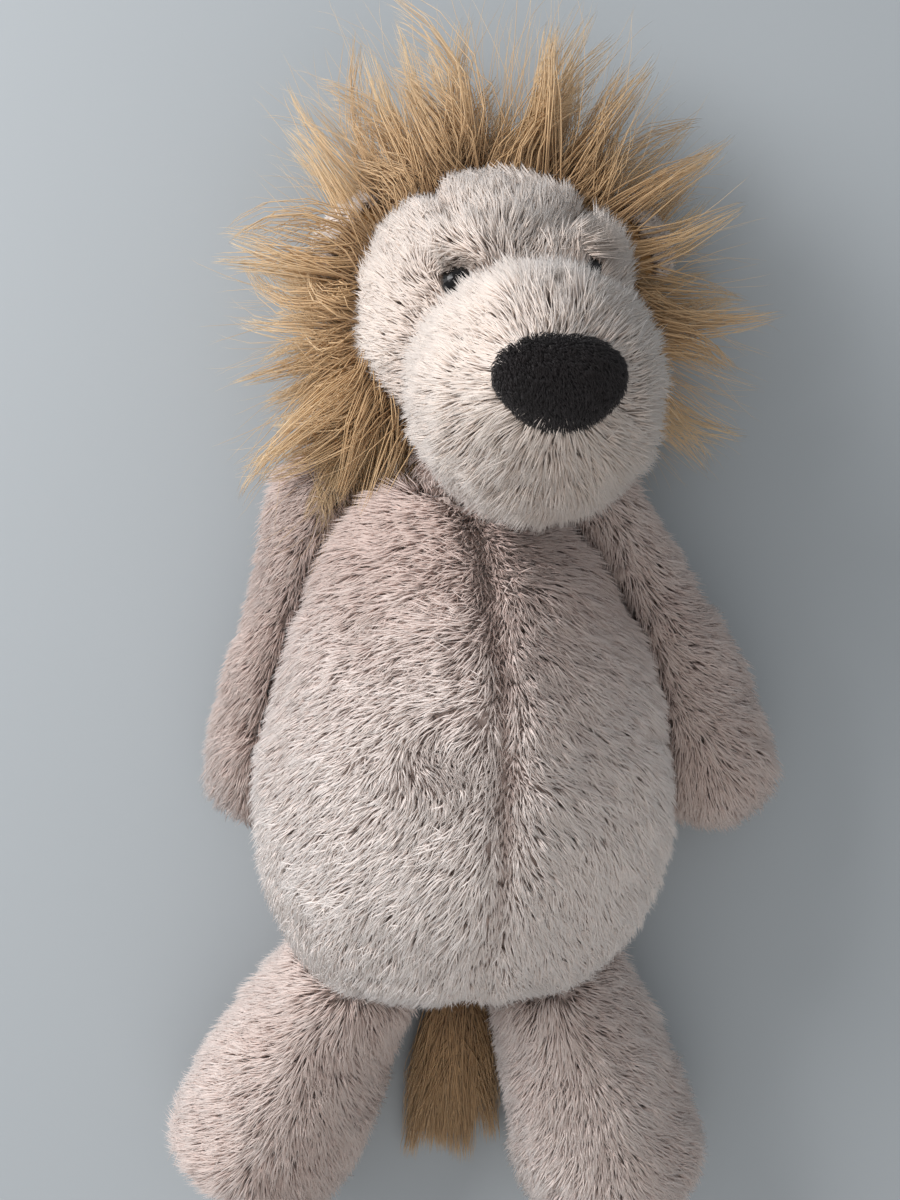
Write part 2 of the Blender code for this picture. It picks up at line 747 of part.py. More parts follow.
def make_leg(side, sign, splay_deg, finishes, torso_guide):
    """A leg that widens to a rounded foot, sewn under the front of the seat."""
    start, run, hinge = hip_frame(sign, splay_deg)
    end = start + run * (leg_length + hip_sink)
    stops = (0.0, 0.20, 0.45, 0.65, 0.80, 0.90, 0.97, 1.0)
    width_shares = (0.66, 0.76, 0.92, 1.0, 0.97, 0.82, 0.48, 0.0)
    depth_shares = (0.92, 0.97, 1.0, 1.0, 0.96, 0.82, 0.50, 0.0)
    half = np.array(width_shares) * leg_width / 2
    rise = np.array(depth_shares) * leg_depth / 2
    rings = limb_rings(
        start, end, half, rise, rise, stops, LIMB_RINGS, LIMB_SIDES, 0.0, first=hip_first_share
    )
    near, far = limb_panels(f"leg_{side}", sign, rings, finishes["body_pile"])
    core = grown(rings, -cloth - fill_gap)
    distance = (core.mean(axis=1) - end) @ run
    row = int(np.argmin(np.abs(distance + foot_bag_length)))
    stuffing, bag = split_fill(
        (f"leg_{side}_stuffing", f"foot_{side}_pellet_bag"),
        core,
        row,
        (finishes["fibre_fill"], finishes["pellet_bag"]),
    )
    for piece in (near, far, stuffing, bag):
        place_origin(piece, hinge)
        cut(piece, torso_guide)
    return near, far, stuffing, bag


def tail_root():
    """Where the tail leaves the bottom seam, low at the back of the seat."""
    return np.array([torso_lean / 2, -seat_to_origin + tail_sink, tail_diameter / 2])


def make_tail(finishes, torso_guide):
    """A thin stuffed tail that ends in a flat tuft of long pile."""
    root = tail_root()
    run = -AHEAD
    end = root + run * (tail_sink + tail_length)
    count = SMALL_RINGS
    radius = tail_diameter / 2
    shares = np.linspace(0, 1, count)
    centres = root + np.outer(shares, end - root)
    side = np.tile(SIDEWAYS, (count, 1))
    up = np.tile(UP, (count, 1))
    half = np.full(count, radius)
    rings = rings_of(centres, side, up, half, half, half, SMALL_SIDES)
    thickness = tail_cloth
    cover = sewn_panel(
        "tail_cover", rings, range(count), range(SMALL_SIDES + 1), finishes["body_pile"], thickness=thickness
    )
    fill = closed_solid("tail_stuffing", grown(rings, -thickness - fill_gap), finishes["fibre_fill"])
    tuft_start = end + run * seam_gap
    stops = (0.0, 0.25, 0.5, 0.75, 0.92, 1.0)
    width_shares = (0.42, 0.80, 1.0, 0.86, 0.50, 0.0)
    depth_shares = (1.0, 1.0, 0.92, 0.72, 0.42, 0.0)
    tuft_shares = np.linspace(0, 1, LIMB_RINGS)
    wide = smooth_table(stops, width_shares, tuft_shares) * tuft_width / 2
    deep = smooth_table(stops, depth_shares, tuft_shares) * tuft_thickness / 2
    wide[-1] = deep[-1] = 0.0
    tuft_centres = tuft_start + np.outer(tuft_shares, run * tuft_length)
    tuft_centres[:, 2] = deep.max()
    side = np.tile(SIDEWAYS, (LIMB_RINGS, 1))
    up = np.tile(UP, (LIMB_RINGS, 1))
    tuft_rings = rings_of(tuft_centres, side, up, wide, deep, deep, SMALL_SIDES)
    locks = 1 - tuft_lock_share * (np.arange(SMALL_SIDES) % 2)
    tuft_middle = tuft_rings.mean(axis=1, keepdims=True)
    tuft_rings = tuft_middle + (tuft_rings - tuft_middle) * locks[None, :, None]
    tuft = closed_solid("tail_tuft", tuft_rings, finishes["mane_pile"])
    hinge = root + UP * radius + run * tail_sink
    for piece in (cover, fill):
        cut(piece, torso_guide)
    for piece in (cover, fill, tuft):
        place_origin(piece, hinge)
    return cover, fill, tuft


def all_finishes():
    """The cloths, fillings and plastics."""
    return {
        "body_pile": material("body_pile", PINK_BEIGE, 0.9),
        "face_pile": material("face_pile", CREAM, 0.9),
        "mane_pile": material("mane_pile", GOLDEN, 0.75),
        "nose_pile": material("nose_pile", DARK_BROWN, 0.85),
        "eye_plastic": material("eye_plastic", BLACK, 0.12),
        "washer_plastic": material("washer_plastic", WHITE, 0.45),
        "fibre_fill": material("fibre_fill", WHITE, 0.95),
        "pellet_bag": material("pellet_bag", WHITE, 0.8),
    }


def main():
    """Build the lion from the torso outwards; each smaller form is cut by the larger."""
    clear_scene()
    finishes = all_finishes()
    torso = make_torso(finishes)
    torso_guide = closed_solid("torso_guide", grown(torso_rings(), joint_gap), None, guide=True)
    armpit_guide = closed_solid("armpit_guide", grown(torso_rings(), armpit_gap), None, guide=True)
    for side, sign, splay, factor in (
        ("left", 1, arm_left_splay_deg, arm_left_share),
        ("right", -1, arm_right_splay_deg, 1.0),
    ):
        armhole = ball_guide(f"armhole_guide_{side}", shoulder_point(sign), arm_root_radius + joint_gap)
        for piece in torso:
            cut(piece, armhole)
        seat = ball_guide(f"arm_root_guide_{side}", shoulder_point(sign), arm_root_radius)
        cut(armpit_guide, seat)
        make_arm(side, sign, splay, factor, finishes, armpit_guide)
    make_leg("left", 1, leg_left_splay_deg, finishes, torso_guide)
    make_leg("right", -1, leg_right_splay_deg, finishes, torso_guide)
    make_tail(finishes, torso_guide)
    make_neck(finishes)
    neck_seat = ball_guide("neck_seat_guide", neck_point(), neck_ball_radius + joint_gap)
    for piece in torso:
        cut(piece, neck_seat)
    head_guide = closed_solid("head_guide", grown(head_rings(), 2 * seam_gap), None, guide=True)
    head = make_head(finishes)
    cheek_left, cheek_right, gusset, back, stuffing = head
    muzzle = make_muzzle(finishes, head_guide)
    head += muzzle
    for side, sign, above, cheek in (
        ("left", 1, eye_left_above, cheek_left),
        ("right", -1, eye_right_above, cheek_right),
    ):
        across = eye_middle + sign * eye_spacing / 2
        head += make_eye(side, across, above, finishes, cheek, muzzle[0], stuffing)
    head += make_ear("left", 1, finishes, head_guide)
    head += make_ear("right", -1, finishes, head_guide)
    mane = make_mane(finishes, head_guide)
    head.append(mane)
    for piece in (cheek_left, cheek_right, gusset, back, stuffing, mane, *muzzle[:2]):
        cut(piece, neck_seat)
    for piece in head:
        place_origin(piece, neck_point())


main()
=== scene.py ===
"""The looks of a plush lion on its back: skins, short pile, mane, tail tuft, nose, eyes and stage.

Laid out as a Blender add-on and run as a script. Sizes are metres in the part's own frame, with the
belly up at +Z, the head towards +Y and the toy's own left side at +X.
"""

import json
import math

import bpy
import numpy as np
from bpy.props import FloatProperty, FloatVectorProperty, IntProperty, PointerProperty
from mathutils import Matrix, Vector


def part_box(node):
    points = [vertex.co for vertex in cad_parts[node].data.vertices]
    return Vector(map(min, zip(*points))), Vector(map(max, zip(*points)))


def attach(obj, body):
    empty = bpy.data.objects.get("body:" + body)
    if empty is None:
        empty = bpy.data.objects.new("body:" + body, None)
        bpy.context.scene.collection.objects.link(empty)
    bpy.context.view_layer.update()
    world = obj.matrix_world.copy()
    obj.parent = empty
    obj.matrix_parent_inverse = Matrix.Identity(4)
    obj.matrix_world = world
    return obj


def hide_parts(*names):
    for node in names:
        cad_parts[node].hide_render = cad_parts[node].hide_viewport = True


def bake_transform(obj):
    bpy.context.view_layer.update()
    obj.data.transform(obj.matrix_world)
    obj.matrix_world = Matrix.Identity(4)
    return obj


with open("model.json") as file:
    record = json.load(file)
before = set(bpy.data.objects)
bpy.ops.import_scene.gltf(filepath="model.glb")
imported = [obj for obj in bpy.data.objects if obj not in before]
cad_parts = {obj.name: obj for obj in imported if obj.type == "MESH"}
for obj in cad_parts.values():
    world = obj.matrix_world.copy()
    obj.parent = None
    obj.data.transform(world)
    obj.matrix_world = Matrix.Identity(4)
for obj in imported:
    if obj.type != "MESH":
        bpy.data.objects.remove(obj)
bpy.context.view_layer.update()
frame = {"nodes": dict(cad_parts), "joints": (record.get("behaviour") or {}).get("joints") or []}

bl_info = {
    "name": "Plush Lion Looks",
    "version": (1, 0, 0),
    "blender": (4, 5, 0),
    "location": "View3D > Sidebar > Plush",
    "description": "Skins, pile, mane, tail tuft, nose and eyes of a plush lion",
    "category": "Add Mesh",
}

MM = 0.001
SEED = 7
PUFF_FRAMES = 16
UP = np.array([0.0, 0.0, 1.0])

TORSO_NODES = (
    "torso_front_left", "torso_front_right", "torso_back", "torso_stuffing", "seat_pellet_bag"
)
HEAD_COVERS = ("cheek_left", "cheek_right", "forehead_gusset", "head_back")
FACE_NODES = (*HEAD_COVERS, "head_stuffing")
MUZZLE_NODES = ("muzzle_cover", "muzzle_stuffing")
NOSE_NODES = ("nose_cover", "nose_stuffing")
NECK_NODES = ("neck_band", "neck_stuffing")
TAIL_NODES = ("tail_cover", "tail_stuffing")

# Tufts on each cover, and strands and locks of the long pile
TUFTS = {
    "neck": 2500, "face": 30000, "ear": 2500, "muzzle": 32000, "nose": 12000, "arm": 19000, "leg": 24000
}
MANE_LOCKS = 64
TAIL_STRANDS = 3200
TAIL_LOCKS = 16
# Tone added to each limb's pile, below 0 is darker: the limbs' own pinker tone plus painted shade, most
# on the right limbs, which lie nearer the key lamp
LIMB_TONES_AND_SHADE = {
    ("arm", "left"): -0.28, ("arm", "right"): -0.46, ("leg", "left"): -0.08, ("leg", "right"): -0.24
}
# Lens in millimetres on a 36 mm high sensor, and the camera's height
LENS = 41.9
SENSOR = 36.0
CAMERA_HEIGHT = 0.45
FLOOR_HALF = 3.0


def srgb(code):
    """A hex colour as linear RGBA: each channel is undone by the sRGB curve."""
    channels = [int(code[k : k + 2], 16) / 255 for k in (1, 3, 5)]
    linear = [c / 12.92 if c <= 0.04045 else ((c + 0.055) / 1.055) ** 2.4 for c in channels]
    return (*linear, 1.0)


def box_of(*nodes):
    """The two corners of the box that holds the nodes."""
    boxes = np.array([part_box(node) for node in nodes])
    return boxes[:, 0].min(axis=0), boxes[:, 1].max(axis=0)


def centre_of(*nodes):
    """The middle of the box that holds the nodes."""
    low, high = box_of(*nodes)
    return (low + high) / 2


HEAD_LOW, HEAD_HIGH = box_of(*HEAD_COVERS)
HEAD_CENTRE = (HEAD_LOW + HEAD_HIGH) / 2
HEAD_HALF = (HEAD_HIGH - HEAD_LOW) / 2
MUZZLE_CENTRE = centre_of("muzzle_stuffing")
NOSE_CENTRE = centre_of("nose_cover")
JOINTS = {joint["name"]: joint for joint in frame["joints"]}


def unit(vectors):
    """Vectors at length 1, along their last axis."""
    vectors = np.asarray(vectors, float)
    return vectors / np.maximum(np.linalg.norm(vectors, axis=-1, keepdims=True), 1e-12)


def hashed(cells, salt):
    """A repeatable number from 0 to 1 for each whole-number cell: the fraction of a large sine."""
    mixed = cells @ np.array([127.1, 311.7, 74.7]) + salt * 19.19
    return np.abs(np.sin(mixed) * 43758.5453) % 1.0


def drift(points, size, salt):
    """Smooth noise from -1 to 1: hashed values at cell corners, blended by an S curve."""
    scaled = points / size
    cell = np.floor(scaled)
    t = scaled - cell
    t = t * t * (3 - 2 * t)
    total = np.zeros(len(points))
    for corner in np.ndindex(2, 2, 2):
        corner = np.array(corner)
        weight = np.prod(np.where(corner > 0, t, 1 - t), axis=1)
        total += weight * hashed(cell + corner, salt)
    return total * 2 - 1


def drift3(points, size, salt):
    """Three smooth noises as a vector at each point."""
    return np.stack([drift(points, size, salt + k) for k in range(3)], axis=1)


def nearest_clump(points, size, salt):
    """The nearest of the jittered points that each cell holds, and a number that names it."""
    cell = np.floor(points / size)
    best = np.full(len(points), np.inf)
    target = np.zeros_like(points)
    label = np.zeros(len(points))
    for step in np.ndindex(3, 3, 3):
        other = cell + np.array(step) - 1
        jitter = np.stack([hashed(other, salt + k) for k in range(3)], axis=1)
        spot = (other + jitter) * size
        gap = np.linalg.norm(spot - points, axis=1)
        closer = gap < best
        best[closer] = gap[closer]
        target[closer] = spot[closer]
        label[closer] = hashed(other[closer], salt + 7)
    return target, label


def mesh_object(name, points, triangles, uv=None, finish=None):
    """A mesh object from arrays of points and triangles, with the map that its colours read."""
    mesh = bpy.data.meshes.new(name)
    mesh.vertices.add(len(points))
    mesh.vertices.foreach_set("co", np.ascontiguousarray(points, np.float32).ravel())
    mesh.loops.add(3 * len(triangles))
    mesh.polygons.add(len(triangles))
    mesh.polygons.foreach_set("loop_start", np.arange(0, 3 * len(triangles), 3, dtype=np.int32))
    mesh.polygons.foreach_set("vertices", np.ascontiguousarray(triangles, np.int32).ravel())
    mesh.update(calc_edges=True)
    if uv is not None:
        layer = mesh.uv_layers.new(name="OFBake")
        layer.data.foreach_set("uv", np.ascontiguousarray(uv, np.float32).ravel())
    mesh.shade_smooth()
    mesh.validate()
    made = bpy.data.objects.new(name, mesh)
    bpy.context.scene.collection.objects.link(made)
    if finish is not None:
        mesh.materials.append(finish)
    return made


def node_arrays(node):
    """A CAD node's points and triangles."""
    mesh = frame["nodes"][node].data
    mesh.calc_loop_triangles()
    points = np.empty(3 * len(mesh.vertices), np.float32)
    corners = np.empty(3 * len(mesh.loop_triangles), np.int32)
    mesh.vertices.foreach_get("co", points)
    mesh.loop_triangles.foreach_get("vertices", corners)
    return points.reshape(-1, 3), corners.reshape(-1, 3)


def points_of(*nodes):
    """All corner points of some CAD nodes."""
    return np.concatenate([node_arrays(node)[0].astype(float) for node in nodes])


def skin_from(name, nodes, voxel, swell, smooth, backing):
    """A sewn form from its CAD solids: remeshed as one closed body, smoothed, and moved out by swell."""
    parts = []
    faces = []
    start = 0
    for node in nodes:
        points, corners = node_arrays(node)
        parts.append(points)
        faces.append(corners + start)
        start += len(points)
    rough = mesh_object(f"{name}_rough", np.concatenate(parts), np.concatenate(faces))
    merge = rough.modifiers.new("merge", "WELD")
    merge.merge_threshold = 1e-6
    remesh = rough.modifiers.new("remesh", "REMESH")
    remesh.mode = "VOXEL"
    remesh.voxel_size = voxel
    relax = rough.modifiers.new("relax", "SMOOTH")
    relax.factor = 0.5
    relax.iterations = smooth
    graph = bpy.context.evaluated_depsgraph_get()
    mesh = bpy.data.meshes.new_from_object(rough.evaluated_get(graph))
    bpy.data.objects.remove(rough)
    mesh.name = name
    made = bpy.data.objects.new(name, mesh)
    bpy.context.scene.collection.objects.link(made)
    mesh.shade_smooth()
    points, normals, _ = surface_of(made)
    put_points(made, points + normals * swell)
    mesh.materials.clear()
    mesh.materials.append(finish_of(backing))
    return made


def surface_of(piece):
    """A piece's points, their normals and its triangles, as arrays."""
    mesh = piece.data
    mesh.calc_loop_triangles()
    count = len(mesh.vertices)
    points = np.empty(3 * count)
    normals = np.empty(3 * count)
    corners = np.empty(3 * len(mesh.loop_triangles), np.int32)
    mesh.vertices.foreach_get("co", points)
    mesh.vertices.foreach_get("normal", normals)
    mesh.loop_triangles.foreach_get("vertices", corners)
    return points.reshape(-1, 3), normals.reshape(-1, 3), corners.reshape(-1, 3)


def put_points(piece, points):
    """Move a piece's points."""
    piece.data.vertices.foreach_set("co", np.ascontiguousarray(points, np.float32).ravel())
    piece.data.update()


def puff(piece, cap):
    """Fill a skin: cloth under an even pressure, with each point's move limited to the cap.

    What lies on the floor stays flat: the move fades to nothing over the lowest centimetre.
    """
    before, _, _ = surface_of(piece)
    cloth = piece.modifiers.new("cloth", "CLOTH")
    cloth.settings.quality = 5
    cloth.settings.mass = 0.3
    cloth.settings.tension_stiffness = 15
    cloth.settings.bending_stiffness = 0.5
    cloth.settings.use_pressure = True
    cloth.settings.uniform_pressure_force = 4
    cloth.settings.effector_weights.gravity = 0
    cloth.point_cache.frame_end = PUFF_FRAMES
    for step in range(1, PUFF_FRAMES + 1):
        bpy.context.scene.frame_set(step)
    graph = bpy.context.evaluated_depsgraph_get()
    blown = piece.evaluated_get(graph)
    after = np.empty(3 * len(before))
    blown.data.vertices.foreach_get("co", after)
    piece.modifiers.remove(cloth)
    bpy.context.scene.frame_set(1)
    move = after.reshape(-1, 3) - before
    far = np.linalg.norm(move, axis=1, keepdims=True)
    move *= np.minimum(1, cap / np.maximum(far, 1e-9))
    move *= np.clip(before[:, 2:] / (10 * MM), 0, 1)
    put_points(piece, before + move)


def lumpy(piece, depth, size, salt):
    """Uneven filling: smooth noise along the normals, fading to nothing at the floor."""
    points, normals, _ = surface_of(piece)
    lump = depth * (drift(points, size, salt) + 0.45 * drift(points, 0.4 * size, salt + 9))
    lump *= np.clip(points[:, 2] / (14 * MM), 0, 1)
    put_points(piece, points + normals * lump[:, None])


def crease(piece, distance, depth, width):
    """Draw a skin in along a seam: depth times a bell curve of each point's distance to it."""
    points, normals, _ = surface_of(piece)
    away = distance(points, normals)
    put_points(piece, points - normals * (depth * np.exp(-((away / width) ** 2)))[:, None])


def scattered(piece, count, rng, weight):
    """Points spread over a skin by area and weight, with their normals."""
    points, normals, triangles = surface_of(piece)
    a, b, c = (points[triangles[:, k]] for k in range(3))
    area = np.linalg.norm(np.cross(b - a, c - a), axis=1)
    middle = (a + b + c) / 3
    facing = unit(sum(normals[triangles[:, k]] for k in range(3)))
    share = area * np.clip(weight(middle, facing), 0, None)
    pick = rng.choice(len(triangles), count, p=share / share.sum())
    u, v = rng.random((2, count, 1))
    flip = u + v > 1
    u, v = np.where(flip, 1 - u, u), np.where(flip, 1 - v, v)
    w = 1 - u - v
    corners = triangles[pick]
    place = points[corners[:, 0]] * w + points[corners[:, 1]] * u + points[corners[:, 2]] * v
    normal = normals[corners[:, 0]] * w + normals[corners[:, 1]] * u + normals[corners[:, 2]] * v
    return place, unit(normal)


# Corners of one tuft: 0 is the root, 1 to 3 the ring, 4 the tip
TUFT_FACES = np.array([[0, 2, 1], [0, 3, 2], [0, 1, 3], [4, 1, 2], [4, 2, 3], [4, 3, 1]])
TUFT_RING_AT = 0.42
# Where each strand's rings stand along its curve
STRAND_STOPS = np.array([0.04, 0.28, 0.52, 0.75, 0.92])
# How far a ring's corners lie apart on the map's first axis
MAP_SPREAD = 0.012


def spokes(run, tilt):
    """Three unit directions around each run, a third of a turn apart."""
    side = unit(np.cross(run, UP + tilt))
    rise = np.cross(side, run)
    angles = [2 * math.pi * k / 3 + math.pi / 2 for k in range(3)]
    return [side * math.cos(angle) + rise * math.sin(angle) for angle in angles]


def fibre_mesh(name, points, faces, along, spread, tone, finish):
    """One mesh of many fibres that share their faces.

    The map's first axis is each fibre's tone and the second runs along it, so a colour that reads only
    the map is the same wherever fibres overlap on it.
    """
    u = np.clip(tone[:, None] * 0.94 + 0.03 + spread[None], 0, 1)
    v = np.broadcast_to(along * 0.96 + 0.02, u.shape)
    uv = np.stack([u, v], axis=2)[:, faces.ravel()]
    every = faces[None] + points.shape[1] * np.arange(len(points))[:, None, None]
    return mesh_object(name, points.reshape(-1, 3), every.reshape(-1, 3), uv.reshape(-1, 2), finish)


def tuft_mesh(name, root, middle, tip, width, tone, finish):
    """Tufts of pile as closed spindles: a root point, a ring of three at the middle and a tip point."""
    points = np.empty((len(root), 5, 3))
    points[:, 0] = root
    points[:, 4] = tip
    for k, spoke in enumerate(spokes(unit(tip - root), 0.01)):
        points[:, 1 + k] = middle + spoke * width[:, None]
    along = np.array([0.0, TUFT_RING_AT, TUFT_RING_AT, TUFT_RING_AT, 1.0])
    spread = np.array([0.0, -MAP_SPREAD, 0.0, MAP_SPREAD, 0.0])
    return fibre_mesh(name, points, TUFT_FACES, along, spread, tone, finish)


def strand_faces():
    """Triangles of one strand: a cap at the root, bands between the rings, and a cap at the tip."""
    last = 3 * len(STRAND_STOPS) - 2
    faces = [[0, 2, 1], [0, 3, 2], [0, 1, 3]]
    for low in range(1, last, 3):
        for k in range(3):
            a, b = low + k, low + (k + 1) % 3
            faces += [[a, b, b + 3], [a, b + 3, a + 3]]
    faces += [[last, last + 1, last + 3], [last + 1, last + 2, last + 3], [last + 2, last, last + 3]]
    return np.array(faces)


def strand_mesh(name, start, bend, end, sway, width, tone, finish):
    """Long strands: three-sided tubes along a curve through start, bend and end, closed at a point.

    The curve is start times (1-t) squared, plus bend times 2t(1-t), plus end times t squared, plus
    sway times t times the sine of 1.7 pi t. Its width falls from root to tip.
    """

    def on_curve(t):
        wave = sway * (t * math.sin(1.7 * math.pi * t))
        return start * (1 - t) ** 2 + bend * (2 * t * (1 - t)) + end * t**2 + wave

    points = np.empty((len(start), 3 * len(STRAND_STOPS) + 2, 3))
    points[:, 0] = start
    points[:, -1] = on_curve(1.0)
    for row, t in enumerate(STRAND_STOPS):
        middle = on_curve(t)
        run = unit((bend - start) * (1 - t) + (end - bend) * t)
        thick = width * (1 - 0.80 * t**1.5)
        for k, spoke in enumerate(spokes(run, 0.02)):
            points[:, 1 + 3 * row + k] = middle + spoke * thick[:, None]
    along = np.concatenate([[0.0], np.repeat(STRAND_STOPS, 3), [1.0]])
    ring = np.tile([-MAP_SPREAD, 0.0, MAP_SPREAD], len(STRAND_STOPS))
    spread = np.concatenate([[0.0], ring, [0.0]])
    return fibre_mesh(name, points, strand_faces(), along, spread, tone, finish)


EYES = np.array([centre_of("eye_left"), centre_of("eye_right")])
EYE_SHOWN_BELOW = 1.8 * MM


def eye_gaps(points):
    """Each point's distance to either eye."""
    return np.linalg.norm(points[:, None] - EYES[None], axis=2)


def by_eye(points, width):
    """1 at an eye, falling with distance as a bell curve of the given width."""
    return np.exp(-((eye_gaps(points).min(axis=1) / width) ** 2))


def by_left_eye(points, width):
    """1 at the left eye, which the turned head hides in the pile, falling as a bell curve."""
    return np.exp(-((np.linalg.norm(points - EYES[0], axis=1) / width) ** 2))


def above_eye(points):
    """1 just above an eye, falling to 0 a centimetre away and at the eye's own height."""
    found = np.zeros(len(points))
    for eye in EYES:
        near = np.exp(-((np.linalg.norm(points - eye, axis=1) / (7 * MM)) ** 2))
        found = np.maximum(found, near * np.clip((points[:, 1] - eye[1]) / (3 * MM), 0, 1))
    return found


def covers_eye(points, radius):
    """Which points lie in front of an eye's opening.

    The opening is an ellipse around the line that runs out of the head through the eye. Its long axis
    follows the muzzle's edge, and the eye behind the muzzle stays nearly closed.
    """
    covered = np.zeros(len(points), bool)
    for eye, share in zip(EYES, (0.12, 1.0)):
        out = unit(eye - HEAD_CENTRE)
        from_muzzle = unit((eye - MUZZLE_CENTRE) * np.array([1, 1, 0]))
        edge = np.cross(UP, from_muzzle)
        offset = points - eye + EYE_SHOWN_BELOW * from_muzzle
        ahead = offset @ out
        sideways = offset @ edge
        apart = np.sum(offset**2, axis=1) - ahead**2 - sideways**2
        apart = np.sqrt(np.clip(apart, 0, None) + (sideways / 1.8) ** 2)
        covered |= (apart < radius * share) & (ahead > -3 * MM)
    return covered


def along_skin(vectors, normal):
    """The part of each vector that runs along the skin."""
    return vectors - normal * np.sum(vectors * normal, axis=1, keepdims=True)


def grow_pile(name, skin, count, comb, slot, settings, body=None, weight=None, tone_shift=None):
    """Short pile on a skin, placed on a body if one is named.

    Each tuft starts on the skin, stands up to its middle and bends over along the comb direction at
    its tip. Smooth noise turns the comb, and the tips of one clump are drawn towards its middle.
    """
    rng = np.random.default_rng(SEED + len(name) * 13 + count)
    weight = weight or (lambda middle, facing: np.ones(len(middle)))
    place, normal = scattered(skin, count, rng, weight)
    length = settings["length"] * (0.72 + 0.5 * rng.random(count))
    length *= 1 + 0.18 * drift(place, settings["patch"], 3)
    heading = comb(place, normal)
    heading = unit(heading + settings["wander"] * drift3(place, settings["patch"], 11))
    heading = heading + settings["ruffle"] * drift3(place, settings["clump"] * 1.7, 23)
    heading = heading + settings["scatter"] * rng.normal(size=(count, 3))
    flat = unit(along_skin(heading, normal))
    lift = settings["lift"] * (1 + 0.25 * drift(place, settings["clump"], 31))[:, None]
    if "rise" in settings:
        lift = lift + settings["rise"](place, normal)[:, None]
    if "shorten" in settings:
        length = length * settings["shorten"](place, normal)
    lean = unit(flat + normal * lift)
    stand = unit(flat * 0.75 + normal * (lift + 0.42))
    target, label = nearest_clump(place, settings["clump"], 5)
    pull = along_skin(target - place, normal)
    fine_target, fine_label = nearest_clump(place, settings["clump"] * 0.42, 17)
    fine_pull = along_skin(fine_target - place, normal)
    length = length * (0.86 + 0.28 * label)
    gather = settings["gather"]
    middle = place + stand * (length * TUFT_RING_AT)[:, None] + 0.24 * fine_pull + 0.35 * gather * pull
    tip = middle + lean * (length * (1 - TUFT_RING_AT))[:, None] + 0.32 * fine_pull + gather * pull
    root = place - normal * 0.6 * MM
    for points in (root, middle, tip):
        points[:, 2] = np.maximum(points[:, 2], 0.15 * MM)
    tone = 0.5 + 0.22 * (label - 0.5) + 0.15 * (fine_label - 0.5) + 0.06 * rng.normal(size=count)
    tone += 0.16 * drift(place, settings["patch"], 41)
    if tone_shift is not None:
        tone += tone_shift(place, normal)
    width = settings["width"] * (0.75 + 0.5 * rng.random(count))
    if "eye_gap" in settings:
        shown = np.ones(len(root), bool)
        tests = [(root, middle, part) for part in (0.6, 1)]
        tests += [(middle, tip, part) for part in (0.35, 0.7, 1)]
        for first, second, part in tests:
            shown &= ~covers_eye(first * (1 - part) + second * part, settings["eye_gap"])
        root, middle, tip, width, tone = (each[shown] for each in (root, middle, tip, width, tone))
    pile = tuft_mesh(name, root, middle, tip, width, np.clip(tone, 0, 1), finish_of(slot))
    if body:
        placed(pile, body)
    return pile


def add_node(tree, kind, settings=None, links=None):
    """Add one node: settings name its properties or sockets, and links name the outputs that feed it."""
    node = tree.nodes.new(kind)
    for key, value in (settings or {}).items():
        if isinstance(key, str) and hasattr(node, key):
            setattr(node, key, value)
        else:
            node.inputs[key].default_value = value
    for key, output in (links or {}).items():
        tree.links.new(output, node.inputs[key])
    return node


def new_finish(name):
    """An empty node material with its shader, and the shader's tree."""
    finish = bpy.data.materials.new(name)
    finish.use_nodes = True
    tree = finish.node_tree
    return finish, tree, tree.nodes["Principled BSDF"]


def ramp_node(tree, stops, feed):
    """A colour ramp with the given stops of place and linear colour."""
    node = add_node(tree, "ShaderNodeValToRGB", links={"Fac": feed})
    elements = node.color_ramp.elements
    while len(elements) > 1:
        elements.remove(elements[-1])
    for k, (place, colour) in enumerate(stops):
        element = elements[0] if k == 0 else elements.new(place)
        element.position = place
        element.color = colour
    return node


